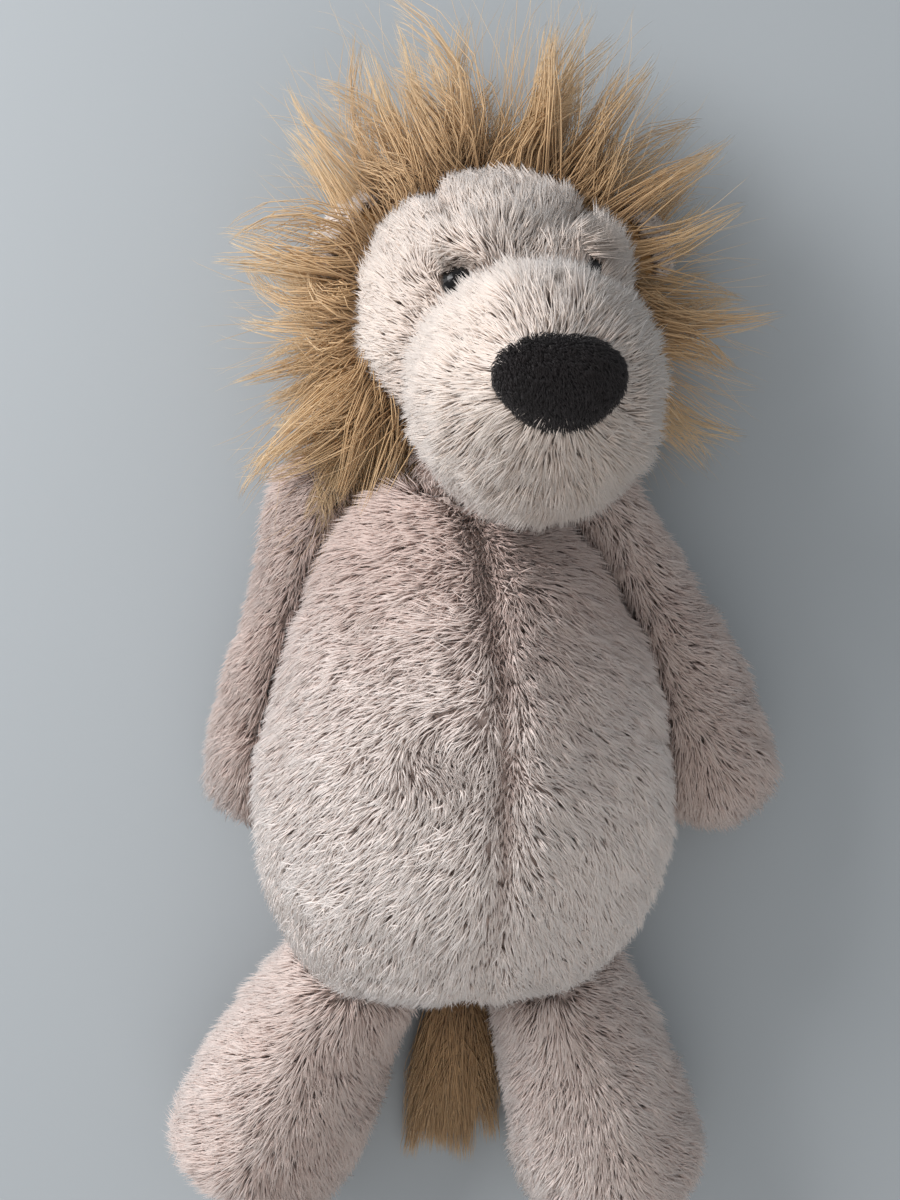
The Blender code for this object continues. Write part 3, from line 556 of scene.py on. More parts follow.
def pile_finish(name, dark, light, roughness=(0.85, 0.6), sheen=0.3, streak=0.22):
    """Acrylic pile: a darker root and a paler tip on each fibre, and a tone that changes by tuft.

    Dark and light are the root, middle and tip colours of the darkest and of the palest tufts.
    """
    finish, tree, shader = new_finish(name)
    uv = add_node(tree, "ShaderNodeUVMap", {"uv_map": "OFBake"})
    split = add_node(tree, "ShaderNodeSeparateXYZ", links={"Vector": uv.outputs["UV"]})
    places = (0.0, TUFT_RING_AT, 1.0)
    low = ramp_node(tree, list(zip(places, map(srgb, dark))), split.outputs["Y"])
    high = ramp_node(tree, list(zip(places, map(srgb, light))), split.outputs["Y"])
    # Fibres in one tuft are a few hundredths of a millimetre across; they are drawn as long streaks
    stretch = add_node(
        tree, "ShaderNodeVectorMath", {"operation": "MULTIPLY", 1: (90.0, 2.5, 1.0)},
        {0: uv.outputs["UV"]},
    )
    noise = add_node(
        tree, "ShaderNodeTexNoise", {"Scale": 6.0, "Detail": 3.0, "Roughness": 0.6},
        {"Vector": stretch.outputs["Vector"]},
    )
    shade = add_node(
        tree, "ShaderNodeMapRange",
        {"From Min": 0.3, "From Max": 0.7, "To Min": -streak / 2, "To Max": streak / 2},
        {"Value": noise.outputs["Fac"]},
    )
    tone = add_node(
        tree, "ShaderNodeMath", {"operation": "ADD", "use_clamp": True},
        {0: split.outputs["X"], 1: shade.outputs["Result"]},
    )
    colour = add_node(
        tree, "ShaderNodeMix", {"data_type": "RGBA"},
        {"Factor": tone.outputs["Value"], 6: low.outputs["Color"], 7: high.outputs["Color"]},
    )
    gloss = add_node(
        tree, "ShaderNodeMapRange", {"To Min": roughness[0], "To Max": roughness[1]},
        {"Value": split.outputs["Y"]},
    )
    tree.links.new(colour.outputs[2], shader.inputs["Base Color"])
    tree.links.new(gloss.outputs["Result"], shader.inputs["Roughness"])
    shader.inputs["Sheen Weight"].default_value = sheen
    shader.inputs["Sheen Roughness"].default_value = 0.5
    shader.inputs["IOR"].default_value = 1.5
    return finish


def clouded_finish(name, low, high, spread, size, detail, roughness):
    """A material whose colour drifts from low to high in clouds of the given size, and its parts."""
    finish, tree, shader = new_finish(name)
    place = add_node(tree, "ShaderNodeTexCoord").outputs["Object"]
    cloud = add_node(tree, "ShaderNodeTexNoise", {"Scale": 1 / size, "Detail": detail}, {"Vector": place})
    stops = list(zip(spread, (srgb(low), srgb(high))))
    colour = ramp_node(tree, stops, cloud.outputs["Fac"])
    tree.links.new(colour.outputs["Color"], shader.inputs["Base Color"])
    shader.inputs["Roughness"].default_value = roughness
    return finish, tree, shader, place


def backing_finish(name, low, high, loop=1.4 * MM):
    """Knitted polyester backing: the matt ground between the tufts, with rows of loops and uneven dye."""
    finish, tree, shader, place = clouded_finish(name, low, high, (0.3, 0.7), 18 * MM, 4.0, 0.9)
    loops = add_node(
        tree, "ShaderNodeTexVoronoi", {"Scale": 1 / loop, "Randomness": 0.7}, {"Vector": place}
    )
    bump = add_node(
        tree, "ShaderNodeBump", {"Strength": 0.7, "Distance": 0.4 * MM},
        {"Height": loops.outputs["Distance"]},
    )
    tree.links.new(bump.outputs["Normal"], shader.inputs["Normal"])
    shader.inputs["Sheen Weight"].default_value = 0.2
    return finish


def seam_line(left, right):
    """The front seam: where the two front panels share points, ordered along y and smoothed."""
    first, second = points_of(left), points_of(right)
    gap = np.array([np.min(np.linalg.norm(second - point, axis=1)) for point in first])
    shared = first[(gap < 1.0 * MM) & (first[:, 2] > 30 * MM)]
    shared = shared[np.argsort(shared[:, 1])]
    at = np.linspace(shared[0, 1], shared[-1, 1], 41)
    weight = np.exp(-(((at[:, None] - shared[None, :, 1]) / (6 * MM)) ** 2)) + 1e-9
    return at, (weight @ shared[:, 0]) / weight.sum(axis=1)


SEAM_Y, SEAM_X = seam_line("torso_front_left", "torso_front_right")


def off_seam(points):
    """Signed distance across the belly from the front seam."""
    return points[:, 0] - np.interp(points[:, 1], SEAM_Y, SEAM_X)


def upper_part(points):
    """1 above the belly's middle, falling to a fifth at the seat."""
    return np.clip((points[:, 1] + 110 * MM) / (60 * MM), 0.2, 1)


def torso_comb(place, normal):
    """Outward from the front seam at the chest, turning downward towards the seat, with one swirl."""
    low, high = SEAM_Y[0], SEAM_Y[-1]
    rise = np.clip((place[:, 1] - low) / (high - low), 0, 1)
    away = np.tanh(off_seam(place) / (5 * MM))
    across = away * (0.45 + 0.55 * rise)
    down = -1.05 + 0.45 * rise
    heading = np.stack([across, down, np.full(len(place), -0.15)], axis=1)
    swirl_at = np.array([-4 * MM, -44 * MM])
    offset = place[:, :2] - swirl_at
    near = np.exp(-np.sum(offset**2, axis=1) / (9 * MM) ** 2) * (place[:, 2] > 40 * MM)
    turn = near * 1.5
    x, y = heading[:, 0].copy(), heading[:, 1].copy()
    heading[:, 0] = x * np.cos(turn) - y * np.sin(turn)
    heading[:, 1] = x * np.sin(turn) + y * np.cos(turn)
    return heading


def away_from(centre):
    """A comb that runs away from a point."""
    return lambda place, normal: unit(place - centre)


def one_way(x, y):
    """A comb that runs the same way everywhere."""
    return lambda place, normal: np.tile([x, y, 0.0], (len(place), 1))


def limb_frame(joint, nodes):
    """A limb's hinge point and the direction from it to the limb's far end."""
    start = np.array(JOINTS[joint]["pos_m"], float)
    points = points_of(*nodes)
    reach = np.linalg.norm(points - start, axis=1)
    far = points[reach > np.quantile(reach, 0.8)].mean(axis=0)
    return start, far


def limb_comb(start, far, part):
    """Along a limb from its hinge, and sideways away from the line on its top by the given part."""
    along = unit(far - start)
    side = unit(np.cross(along, UP))

    def comb(place, normal):
        spread = np.tanh((place - start) @ side / (5 * MM)) * part
        return along + spread[:, None] * side - 0.12 * UP

    return comb


PILE = {
    "width": 0.28 * MM,
    "clump": 3.4 * MM,
    "patch": 24 * MM,
    "lift": 0.60,
    "wander": 0.42,
    "ruffle": 0.42,
    "scatter": 0.24,
    "gather": 0.24,
}


class PlushLionSettings(bpy.types.PropertyGroup):
    """Sizes, counts and lamp strengths of the plush lion."""

    pile_length: FloatProperty(
        name="Pile length", description="Length of the body's pile", default=7.8 * MM, unit="LENGTH"
    )
    muzzle_length: FloatProperty(
        name="Muzzle pile", description="Length of the muzzle's pile", default=9.6 * MM, unit="LENGTH"
    )
    face_length: FloatProperty(
        name="Face pile", description="Length of the face's pile", default=8 * MM, unit="LENGTH"
    )
    nose_length: FloatProperty(
        name="Nose pile", description="Length of the nose's pile", default=2 * MM, unit="LENGTH"
    )
    pile_depth: FloatProperty(
        name="Pile depth",
        description="How far the backing lies inside the outer form of the pile",
        default=2.8 * MM,
        unit="LENGTH",
    )
    shoulder_fill: FloatProperty(
        name="Left shoulder",
        description="Extra fill outside the left shoulder",
        default=6 * MM,
        unit="LENGTH",
    )
    torso_tufts: IntProperty(
        name="Torso tufts", description="Tufts on each half of the belly", default=32000, min=100
    )
    mane_strands: IntProperty(
        name="Mane strands", description="Strands in each third of the mane", default=5200, min=100
    )
    floor_colour: FloatVectorProperty(
        name="Floor",
        description="Colour of the floor",
        size=3,
        subtype="COLOR",
        default=srgb("#A6ACAF")[:3],
    )
    key_power: FloatProperty(
        name="Key light", description="Power of the large soft lamp", default=20.0, unit="POWER"
    )
    world_level: FloatProperty(
        name="Sky level", description="Strength of the even light from all around", default=0.62
    )


def settings():
    """The scene's own group of sizes and colours."""
    return bpy.context.scene.plush_lion


# Root, middle and tip colours of the palest tufts, and of the darkest
CREAM = ("#D6C6BA", "#E7DBD0", "#F4ECE4")
CREAM_DEEP = ("#BDA799", "#CFBDB0", "#E0D2C6")
BEIGE = ("#DECEC5", "#ECE0D8", "#F8F2ED")
BEIGE_DEEP = ("#B49C91", "#C3ABA1", "#D8C5BB")
GOLD = ("#B08A5C", "#E8C696", "#F0DAB4")
GOLD_DEEP = ("#82603E", "#B89468", "#C8A67A")
NOSE = ("#0B0708", "#1A1213", "#2C2122")
NOSE_DEEP = ("#060405", "#0B0708", "#140F10")
FINISHES = {}


def finish_of(name):
    """A finish by name, made when it is first asked for."""
    makers = {
        # The piles give the soft, broken edge: beige body, creamier face, gold mane, dull black nose
        "body_pile": lambda n: pile_finish(n, BEIGE_DEEP, BEIGE),
        "face_pile": lambda n: pile_finish(n, CREAM_DEEP, CREAM),
        "mane_pile": lambda n: pile_finish(n, GOLD_DEEP, GOLD, (0.6, 0.42), sheen=0.1, streak=0.3),
        "nose_pile": lambda n: pile_finish(n, NOSE_DEEP, NOSE, sheen=0.08),
        # The backings give the shaded ground that shows where the tufts part
        "body_backing": lambda n: backing_finish(n, "#CDB9AF", "#DCCBC2"),
        "face_backing": lambda n: backing_finish(n, "#C6B2A4", "#D8C7BA"),
        "mane_backing": lambda n: backing_finish(n, "#5E4326", "#7A5A36"),
        "ear_backing": lambda n: backing_finish(n, "#8E6A3E", "#AE8654"),
        "nose_backing": lambda n: backing_finish(n, "#120D0E", "#1E1819", loop=0.9 * MM),
    }
    if name not in FINISHES:
        FINISHES[name] = makers[name](name)
    return FINISHES[name]


class PLUSH_OT_stage(bpy.types.Operator):
    """Floor, even sky, a large soft lamp at the upper left, a weak fill, and the camera above."""

    bl_idname = "plush.stage"
    bl_label = "Stage"

    def execute(self, context):
        scene = context.scene
        values = settings()
        corners = FLOOR_HALF * np.array([[-1, -1, 0], [1, -1, 0], [1, 1, 0], [-1, 1, 0]])
        floor = mesh_object("floor", corners, np.array([[0, 1, 2], [0, 2, 3]]))
        # Satin paint: a smooth grey ground that takes the toy's soft shadow and no mirror image
        finish, _, shader = new_finish("satin_painted_board")
        shader.inputs["Base Color"].default_value = (*values.floor_colour, 1.0)
        shader.inputs["Roughness"].default_value = 0.55
        shader.inputs["Specular IOR Level"].default_value = 0.3
        floor.data.materials.append(finish)
        world = bpy.data.worlds.new("even_sky")
        world.use_nodes = True
        sky = world.node_tree.nodes["Background"]
        sky.inputs["Color"].default_value = srgb("#E6E9EE")
        sky.inputs["Strength"].default_value = values.world_level
        scene.world = world
        self.lamp(scene, "key_window", (-0.98, 0.50, 0.56), 0.8, values.key_power, "#FBF9FA")
        self.lamp(scene, "fill_room", (0.15, -1.0, 0.8), 1.2, values.key_power * 0.17, "#FFF3E8")
        data = bpy.data.cameras.new("camera")
        data.sensor_fit = "VERTICAL"
        data.sensor_height = SENSOR
        data.lens = LENS
        data.clip_start = 0.01
        camera = bpy.data.objects.new("camera", data)
        camera.location = (0.0, 0.0, CAMERA_HEIGHT)
        scene.collection.objects.link(camera)
        scene.camera = camera
        scene.view_settings.view_transform = "Standard"
        return {"FINISHED"}

    def lamp(self, scene, name, place, size, power, colour):
        """A square area lamp that looks at the middle of the belly."""
        data = bpy.data.lights.new(name, "AREA")
        data.size = size
        data.energy = power
        data.color = srgb(colour)[:3]
        lamp = bpy.data.objects.new(name, data)
        lamp.location = place
        towards = np.array([0.0, 0.0, 0.04]) - np.array(place)
        yaw = math.atan2(towards[1], towards[0])
        pitch = math.atan2(math.hypot(towards[0], towards[1]), -towards[2])
        lamp.rotation_euler = (pitch, 0.0, yaw - math.pi / 2)
        scene.collection.objects.link(lamp)


def placed(piece, body):
    """Let a piece ride on its body."""
    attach(piece, body)


def dressed(skin, body, nodes):
    """Hide the CAD solids that a skin stands for, and let the skin ride on its body."""
    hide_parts(*nodes)
    placed(skin, body)


class PLUSH_OT_torso(bpy.types.Operator):
    """The body: one padded skin drawn in along the front seam, and pile that parts at that seam."""

    bl_idname = "plush.torso"
    bl_label = "Torso"

    def execute(self, context):
        values = settings()
        skin = skin_from(
            "torso_skin", TORSO_NODES, 4 * MM, -values.pile_depth, 8, "body_backing"
        )
        puff(skin, 2 * MM)
        lumpy(skin, 1.3 * MM, 24 * MM, 51)
        crease(
            skin,
            lambda points, normals: np.abs(off_seam(points)) + np.where(normals[:, 2] > -0.2, 0, 1),
            2.8 * MM * upper_part(surface_of(skin)[0]),
            2.6 * MM,
        )
        dressed(skin, "torso", TORSO_NODES)
        grow = dict(
            PILE,
            length=values.pile_length,
            shorten=lambda place, normal: 1 - 0.4 * np.exp(-((off_seam(place) / (3 * MM)) ** 2)),
        )

        # Tone of the torso's pile with painted light and shade: painted shade in the crease along the
        # front seam, a painted shadow of the muzzle and mane on the upper chest, and a paler lower belly
        # that is partly whiter pile and partly painted light where it faces away from the key lamp
        def painted_shade_and_light(place, normal):
            near = np.exp(-((off_seam(place) / (2.0 * MM)) ** 2)) * (normal[:, 2] > 0)
            painted_low_light = 1 - np.clip((place[:, 1] + 0.115) / 0.13, 0, 1)
            chest = np.clip((place[:, 1] + 25 * MM) / (45 * MM), 0, 1)
            depth = 0.35 + 0.4 * upper_part(place)
            return -0.40 - depth * near + 1.45 * painted_low_light - 0.36 * chest

        def upper(sign):
            return lambda middle, facing: (sign * off_seam(middle) > 0) * (
                0.12 + 0.88 * np.clip(facing[:, 2] * 2 + 0.9, 0, 1)
            )

        for name, sign in (("torso_pile_left", 1), ("torso_pile_right", -1)):
            grow_pile(
                name, skin, values.torso_tufts, torso_comb, "body_pile", grow, "torso",
                weight=upper(sign), tone_shift=painted_shade_and_light,
            )
        return {"FINISHED"}


class PLUSH_OT_neck(bpy.types.Operator):
    """The short neck under the head."""

    bl_idname = "plush.neck"
    bl_label = "Neck"

    def execute(self, context):
        values = settings()
        skin = skin_from("neck_skin", NECK_NODES, 3 * MM, -1.5 * MM, 4, "body_backing")
        dressed(skin, "neck", NECK_NODES)
        grow = dict(PILE, length=0.6 * values.pile_length)
        grow_pile("neck_pile", skin, TUFTS["neck"], one_way(0.0, -1.0), "body_pile", grow, "neck")
        return {"FINISHED"}


# Azimuths of the two seams that run from the face over the forehead
GUSSET_SEAMS = (45.0, 120.0)


def beside_gusset(degrees):
    """Distance from one forehead seam: across its azimuth line, above the eyes only."""

    def distance(points, normals):
        offset = points - HEAD_CENTRE
        run = np.array([math.cos(math.radians(degrees)), math.sin(math.radians(degrees))])
        across = np.abs(offset[:, 0] * run[1] - offset[:, 1] * run[0])
        along = offset[:, :2] @ run
        return across + np.clip(22 * MM - along, 0, None) + np.clip(40 * MM - points[:, 2], 0, None)

    return distance


def by_seam(points):
    """1 at a forehead seam, falling over a few millimetres."""
    gap = np.min([beside_gusset(degrees)(points, None) for degrees in GUSSET_SEAMS], axis=0)
    return np.exp(-((gap / (2.4 * MM)) ** 2))


def by_muzzle(points):
    """1 where the face meets the muzzle, falling over a few millimetres."""
    gap = np.linalg.norm(points - MUZZLE_CENTRE, axis=1) - 36 * MM
    return np.exp(-((np.clip(gap, 0, None) / (5 * MM)) ** 2))


def off_axis(points):
    """Distance from the upright line through the head's centre."""
    return np.linalg.norm((points - HEAD_CENTRE)[:, :2], axis=1)


def face_only(middle, facing):
    """Where the face's pile grows: above the seam with the mane, off the eyes, denser at the brow."""
    denser = 1 + 1.5 * above_eye(middle) + 4 * by_left_eye(middle, 8 * MM)
    return (middle[:, 2] > 36 * MM) * (eye_gaps(middle).min(axis=1) > 3.8 * MM) * denser


def brow_comb(place, normal):
    """Away from the muzzle, but down over the eye for the pile just above it."""
    heading = unit(place - MUZZLE_CENTRE + 10 * MM * UP) + np.array([0, 0.15, 0])
    nearest = EYES[np.argmin(eye_gaps(place), axis=1)]
    return heading - 5 * above_eye(place)[:, None] * unit(place - nearest)


class PLUSH_OT_head(bpy.types.Operator):
    """Face and back of the head as one padded skin, with pile that runs away from the muzzle."""

    bl_idname = "plush.head"
    bl_label = "Head"

    def execute(self, context):
        values = settings()
        skin = skin_from("head_skin", FACE_NODES, 3 * MM, 0.0, 5, "face_backing")
        puff(skin, 1.5 * MM)
        points, normals, _ = surface_of(skin)
        gap = eye_gaps(points).min(axis=1)
        hollow = np.exp(-(((gap - 7 * MM) / (4 * MM)) ** 2))
        depth = values.pile_depth * (1.6 * np.clip((gap - 4 * MM) / (12 * MM), 0.25, 1) + 0.45 * hollow)
        put_points(skin, points - normals * depth[:, None])
        for degrees in GUSSET_SEAMS:
            crease(skin, beside_gusset(degrees), 3.2 * MM, 3.2 * MM)
        dressed(skin, "head", FACE_NODES)
        grow = dict(
            PILE,
            length=values.face_length,
            lift=0.45,
            clump=3.2 * MM,
            eye_gap=2.1 * MM,
            rise=lambda place, normal: 1.3 * above_eye(place),
            shorten=lambda place, normal: (
                1 - 0.5 * by_muzzle(place) - 0.3 * by_seam(place) * (1 - by_muzzle(place))
                - 0.1 * by_eye(place, 8 * MM) + 1.0 * by_left_eye(place, 9 * MM)
            ),
        )
        grow_pile(
            "face_pile", skin, TUFTS["face"], brow_comb, "face_pile", grow, "head",
            weight=face_only,
            # Painted shade in the face pile's tone: darker where the face meets the muzzle, along the
            # forehead seams and around the eyes
            tone_shift=lambda place, normal: (
                0.06 - 0.35 * by_muzzle(place) - 0.35 * by_seam(place) - 0.35 * by_eye(place, 8 * MM)
            ),
        )
        for side in ("left", "right"):
            self.ear(side)
        return {"FINISHED"}

    def ear(self, side):
        """One padded ear, set deeper in the mane than its solids, with short pile on its tip."""
        nodes = (f"ear_front_{side}", f"ear_back_{side}")
        ear = skin_from(f"ear_{side}_skin", nodes, 2 * MM, -0.8 * MM, 3, "ear_backing")
        points, _, _ = surface_of(ear)
        away = off_axis(points) - HEAD_HALF[0]
        put_points(ear, points - UP * (9 * MM - 0.35 * np.clip(away + 6 * MM, 0, 14 * MM))[:, None])
        dressed(ear, "head", nodes)
        tuft = dict(PILE, length=4.2 * MM, lift=0.3)
        grow_pile(
            f"ear_{side}_pile", ear, TUFTS["ear"], away_from(HEAD_CENTRE), "face_pile", tuft, "head",
            weight=lambda middle, facing: off_axis(middle) > HEAD_HALF[0] + 7 * MM,
        )


class PLUSH_OT_muzzle(bpy.types.Operator):
    """The padded muzzle with long pile that radiates from the nose."""

    bl_idname = "plush.muzzle"
    bl_label = "Muzzle"

    def execute(self, context):
        values = settings()
        facing = unit(NOSE_CENTRE - MUZZLE_CENTRE)
        skin = skin_from("muzzle_skin", MUZZLE_NODES, 3 * MM, 0.0, 6, "face_backing")
        puff(skin, 1.5 * MM)
        points, normals, _ = surface_of(skin)
        aside = np.clip(1.25 * (1 - normals @ facing), 0, 1)
        put_points(skin, points - normals * (values.pile_depth * (0.7 + 1.8 * aside))[:, None])
        lumpy(skin, 0.9 * MM, 12 * MM, 61)
        dressed(skin, "head", MUZZLE_NODES)
        grow = dict(
            PILE,
            length=values.muzzle_length,
            lift=0.36,
            clump=4.2 * MM,
            wander=0.26,
            ruffle=0.50,
            scatter=0.20,
            gather=0.52,
            eye_gap=2.0 * MM,
            shorten=lambda place, normal: (
                0.92 + 0.55 * by_eye(place, 11 * MM) + 0.4 * by_left_eye(place, 11 * MM)
            ),
            rise=lambda place, normal: (
                0.15 + 0.75 * np.clip(1 - normal @ facing, 0, 1) ** 1.5 + 0.5 * by_eye(place, 11 * MM)
            ),
        )
        grow_pile(
            "muzzle_pile", skin, TUFTS["muzzle"], away_from(NOSE_CENTRE - 2 * MM * UP),
            "face_pile", grow, "head",
            weight=lambda middle, facing: (
                np.clip((middle[:, 2] - 50 * MM) / (9 * MM), 0.02, 1)
                * (1 + 2 * by_left_eye(middle, 11 * MM))
            ),
        )
        return {"FINISHED"}


class PLUSH_OT_nose(bpy.types.Operator):
    """The padded nose in dark clipped velour."""

    bl_idname = "plush.nose"
    bl_label = "Nose"

    def execute(self, context):
        values = settings()
        skin = skin_from("nose_skin", NOSE_NODES, 1.4 * MM, -0.6 * MM, 6, "nose_backing")
        dressed(skin, "head", NOSE_NODES)
        grow = dict(
            PILE, length=values.nose_length, width=0.12 * MM, clump=1.4 * MM, patch=7 * MM, lift=0.3
        )
        grow_pile("nose_pile", skin, TUFTS["nose"], one_way(0.3, -1.0), "nose_pile", grow, "head")
        return {"FINISHED"}


class PLUSH_OT_eyes(bpy.types.Operator):
    """Finishes of the CAD's own eyes and washers."""

    bl_idname = "plush.eyes"
    bl_label = "Eyes"

    def execute(self, context):
        # Polished acrylic: near black, with one small clear highlight of the window
        domed, _, shader, _ = clouded_finish(
            "eye_moulded_acrylic", "#070707", "#15120F", (0.35, 0.75), 3 * MM, 3.0, 0.16
        )
        shader.inputs["Specular IOR Level"].default_value = 0.35
        # Moulded nylon: an off-white disc with a dull shine, hidden inside the head
        washer = clouded_finish(
            "washer_moulded_nylon", "#D9D8D0", "#E8E7E1", (0.3, 0.7), 2 * MM, 2.0, 0.45
        )[0]
        for side in ("left", "right"):
            for node, finish in ((f"eye_{side}", domed), (f"eye_washer_{side}", washer)):
                slots = frame["nodes"][node].material_slots
                for k in range(len(slots)):
                    slots[k].material = finish
        return {"FINISHED"}


# Reach of the mane from the head's centre, by azimuth in degrees
REACH_AT = np.array(
    [-45, -38, -20, 0, 20, 44, 54, 75, 95, 110, 130, 145, 162, 180, 200, 215, 232, 242]
)
REACH = np.array([70, 76, 81, 81, 79, 89, 97, 102, 104, 104, 97, 86, 84, 83, 85, 90, 99, 97]) * MM
MANE_STOPS = (-42.0, 48.0, 138.0, 238.0)
# The mane parts here, where one ear's tip shows
NOTCH_AZIMUTH = 150.5
NOTCH_HALF = 13.5
# How far inside the head's side a strand starts
ROOT_INSET = 4.0 * MM


def around_head(x_radius, y_radius, angle, height):
    """Points at the given angles and radii about the upright line through the head's centre."""
    x = HEAD_CENTRE[0] + x_radius * np.cos(angle)
    y = HEAD_CENTRE[1] + y_radius * np.sin(angle)
    return np.stack([x, y, height], axis=1)


def grow_mane(name, first, last, count, locks, finish):
    """Long pile on the back of the head between two azimuths.

    Locks are spread by azimuth and by height. Each strand leaves the head's side at its own root,
    arches over, and ends near its lock's tip. Reach is a share of the table of reach by azimuth.
    """
    rng = np.random.default_rng(SEED + int(first) + 400)
    azimuth = first + (last - first) * (np.arange(locks) + rng.random(locks)) / locks
    layer = rng.random(locks)
    long_lock = rng.random(locks) < 0.30
    fuller = 0.10 * np.clip((azimuth - 140) / 20, 0, 1)
    long_share = 0.86 + 0.20 * rng.random(locks)
    short_share = 0.58 + 0.20 * rng.random(locks) + fuller
    share = np.where(long_lock, long_share, short_share)
    aim = azimuth + 7.0 * rng.normal(size=locks)
    off_notch = aim - NOTCH_AZIMUTH
    beside_notch = NOTCH_AZIMUTH + np.sign(off_notch) * NOTCH_HALF
    aim = np.where(np.abs(off_notch) < NOTCH_HALF, beside_notch, aim)
    tip_height = (3 + 34 * layer + 5 * rng.normal(size=locks)) * MM
    curl = 9 * MM * rng.normal(size=locks)
    sway = rng.uniform(-1, 1, size=(locks, 3)) * np.array([3.0, 3.0, 1.2]) * MM
    lock_tone = rng.random(locks)
    fullness = (1.4 - share) ** 1.6
    near = rng.choice(locks, count, p=fullness / fullness.sum())
    stray = rng.random(count) < 0.05
    root_azimuth = azimuth[near] + rng.normal(size=count) * 6.5
    right_end = np.clip((azimuth[near] - 195) / 35, 0, 1)
    left_end = np.clip((-10 - azimuth[near]) / 35, 0, 1)
    droop = right_end * 14 - left_end * 14
    angle = np.radians(root_azimuth - droop)
    root_layer = np.clip(layer[near] + rng.normal(size=count) * 0.16, 0, 1)
    root_height = (5 + 45 * root_layer) * MM
    slope = np.sqrt(np.clip(1 - ((root_height - HEAD_CENTRE[2]) / (1.12 * HEAD_HALF[2])) ** 2, 0.05, 1))
    x_radius, y_radius = (half * slope - ROOT_INSET for half in HEAD_HALF[:2])
    start = around_head(x_radius, y_radius, angle, root_height)
    gather = np.where(stray, 0.2, 0.96)
    tip_angle = np.radians(aim[near] + (1 - gather) * (root_azimuth - azimuth[near]) * 1.6)
    tip_angle += np.where(stray, 0.12, 0.012) * rng.normal(size=count)
    reach = np.interp(np.degrees(tip_angle), REACH_AT, REACH)
    spare = np.where(long_lock, 0.30, 0.42)[near]
    far = reach * share[near] * (1 - spare * rng.random(count) ** 1.6)
    far = np.where(stray, reach * (0.66 + 0.42 * rng.random(count)), far)
    height = tip_height[near] + np.where(stray, 7, 2.0) * MM * rng.normal(size=count)
    low_side = np.clip((np.degrees(tip_angle) - 200) / 12, 0, 1)
    height = np.where(low_side > 0, np.maximum(height, low_side * 46 * MM), height)
    end = around_head(far, far, tip_angle, np.maximum(height, 1.2 * MM))
    run = end - start
    length = np.linalg.norm(run, axis=1, keepdims=True)
    side = unit(np.cross(run, UP))
    bend = start + 0.5 * run + side * (curl[near] + 1.5 * MM * rng.normal(size=count))[:, None]
    bend += UP * (0.10 + 0.10 * rng.random((count, 1))) * length
    over_ear = np.clip((root_height - 38 * MM) / (8 * MM), 0, 1)
    bend += UP * (over_ear * 9 * MM)[:, None]
    bend[:, 2] = np.maximum(bend[:, 2], 1.0 * MM)
    tone = 0.30 + 0.40 * lock_tone[near] + 0.09 * rng.normal(size=count)
    width = np.where(stray, 0.13, 0.24) * MM * (0.8 + 0.5 * rng.random(count))
    return strand_mesh(name, start, bend, end, sway[near], width, np.clip(tone, 0, 1), finish)


class PLUSH_OT_mane(bpy.types.Operator):
    """The mane as pointed locks of long strands, in three pieces."""

    bl_idname = "plush.mane"
    bl_label = "Mane"

    def execute(self, context):
        count = settings().mane_strands
        names = ("mane_strands_left", "mane_strands_top", "mane_strands_right")
        for k, name in enumerate(names):
            first, last = MANE_STOPS[k : k + 2]
            piece = grow_mane(name, first, last, count, MANE_LOCKS, finish_of("mane_pile"))
            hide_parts("mane")
            placed(piece, "head")
        return {"FINISHED"}


def limb(side, kind, nodes, part):
    """One padded limb with its pile; its hinge and far end set the pile's comb."""
    values = settings()
    hinge, far = limb_frame(f"{kind}_{side}_swing", nodes)
    skin = skin_from(
        f"{kind}_{side}_skin", nodes, 3.5 * MM, -values.pile_depth, 6, "body_backing"
    )
    puff(skin, 2 * MM)
    lumpy(skin, 1.0 * MM, 17 * MM, 71)
    if kind == "arm" and side == "left":
        points, normals, _ = surface_of(skin)
        near = np.exp(-(((points[:, 1] + 10 * MM) / (30 * MM)) ** 2)) * np.clip(normals[:, 0], 0, 1)
        put_points(skin, points + normals * (values.shoulder_fill * near)[:, None])
    pile = grow_pile(
        f"{kind}_{side}_pile", skin, TUFTS[kind], limb_comb(hinge, far, part),
        "body_pile", dict(PILE, length=values.pile_length),
        weight=lambda middle, facing: 0.3 + 0.7 * np.clip(facing[:, 2] * 2 + 0.8, 0, 1),
        # The limb's tone shift is partly its own tone and partly painted shade against the key lamp
        tone_shift=lambda place, normal: np.full(len(place), LIMB_TONES_AND_SHADE[kind, side]),
    )
    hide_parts(*nodes)
    for piece in (skin, pile):
        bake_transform(piece)


class PLUSH_OT_arms(bpy.types.Operator):
    """Both arms."""

    bl_idname = "plush.arms"
    bl_label = "Arms"

    def execute(self, context):
        for side in ("left", "right"):
            nodes = tuple(f"arm_{side}_{part}" for part in ("inner", "outer", "stuffing"))
            limb(side, "arm", nodes, 0.35)
        return {"FINISHED"}


class PLUSH_OT_legs(bpy.types.Operator):
    """Both legs, with pile that parts along the seam on top."""

    bl_idname = "plush.legs"
    bl_label = "Legs"

    def execute(self, context):
        for side in ("left", "right"):
            nodes = tuple(f"leg_{side}_{part}" for part in ("inner", "outer", "stuffing"))
            limb(side, "leg", (*nodes, f"foot_{side}_pellet_bag"), 0.9)
        return {"FINISHED"}


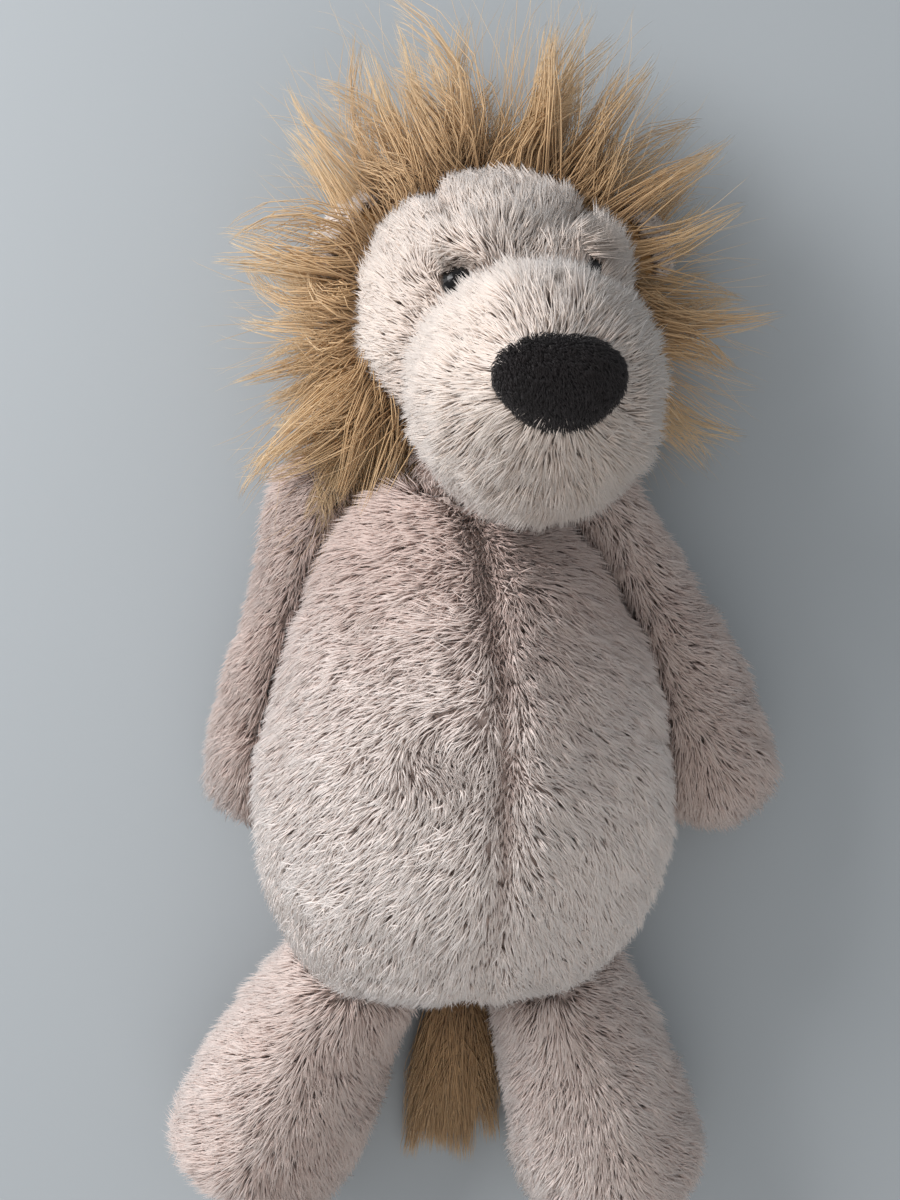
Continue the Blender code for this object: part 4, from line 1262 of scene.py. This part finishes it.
class PLUSH_OT_tail(bpy.types.Operator):
    """The thin padded tail and its tuft of long strands."""

    bl_idname = "plush.tail"
    bl_label = "Tail"

    def execute(self, context):
        skin = skin_from("tail_skin", TAIL_NODES, 2 * MM, -0.8 * MM, 3, "mane_backing")
        dressed(skin, "tail", TAIL_NODES)
        low, high = (np.array(corner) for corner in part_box("tail_tuft"))
        rng = np.random.default_rng(SEED + 900)
        count, locks = TAIL_STRANDS, TAIL_LOCKS
        across = (np.arange(locks) + rng.random(locks)) / locks
        lock = rng.integers(0, locks, count)
        middle = (low[0] + high[0]) / 2
        spread = high[0] - low[0]
        x = middle + 9 * MM * (rng.random(count) - 0.5) + 4 * MM * (across[lock] - 0.5)
        y = high[1] + 22 * MM * rng.random(count) - 6 * MM
        start = np.stack([x, y, 1.5 * MM + 8 * MM * rng.random(count)], axis=1)
        fan = across[lock] - 0.5 + 0.05 * rng.normal(size=count)
        ragged = 0.62 + 0.38 * rng.random(locks)
        fall = (1 - 0.55 * rng.random(count) ** 1.4) * ragged[lock]
        x = middle + spread * (0.9 * fan - 0.05)
        y = high[1] - (high[1] - low[1]) * fall
        end = np.stack([x, y, 0.8 * MM + 6 * MM * rng.random(count)], axis=1)
        bend = 0.5 * (start + end) + 1.5 * MM * rng.normal(size=(count, 3))
        bend[:, 0] += 0.25 * spread * fan
        bend[:, 2] = np.clip(bend[:, 2] + 2 * MM, 1 * MM, 11 * MM)
        # Tail strands darker than the mane's: partly the tuft's own deeper brown, partly painted shade
        # for the shadow between the legs
        tone = np.clip(-0.06 + 0.20 * rng.normal(size=count), 0, 1)
        width = 0.24 * MM * (0.8 + 0.5 * rng.random(count))
        sway = rng.uniform(-1, 1, size=(locks, 3))[lock] * np.array([2.0, 2.0, 0.4]) * MM
        tuft = strand_mesh("tail_strands", start, bend, end, sway, width, tone, finish_of("mane_pile"))
        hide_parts("tail_tuft")
        placed(tuft, "tail")
        return {"FINISHED"}


OPERATORS = (
    PLUSH_OT_stage,
    PLUSH_OT_torso,
    PLUSH_OT_neck,
    PLUSH_OT_head,
    PLUSH_OT_muzzle,
    PLUSH_OT_nose,
    PLUSH_OT_eyes,
    PLUSH_OT_mane,
    PLUSH_OT_arms,
    PLUSH_OT_legs,
    PLUSH_OT_tail,
)


class PLUSH_PT_sidebar(bpy.types.Panel):
    """The plush lion's sizes and one button for each piece."""

    bl_idname = "PLUSH_PT_sidebar"
    bl_label = "Plush Lion"
    bl_space_type = "VIEW_3D"
    bl_region_type = "UI"
    bl_category = "Plush"

    def draw(self, context):
        group = context.scene.plush_lion
        for key in PlushLionSettings.__annotations__:
            self.layout.prop(group, key)
        for operator in OPERATORS:
            self.layout.operator(operator.bl_idname)


CLASSES = (PlushLionSettings, *OPERATORS, PLUSH_PT_sidebar)


def register():
    """Register every class, and give the scene its group."""
    for cls in CLASSES:
        bpy.utils.register_class(cls)
    bpy.types.Scene.plush_lion = PointerProperty(type=PlushLionSettings)


def unregister():
    """Undo register in the opposite order."""
    del bpy.types.Scene.plush_lion
    for cls in reversed(CLASSES):
        bpy.utils.unregister_class(cls)


def main():
    """Make every piece in order."""
    register()
    for operator in OPERATORS:
        family, name = operator.bl_idname.split(".")
        getattr(getattr(bpy.ops, family), name)()


if __name__ == "__main__":
    main()
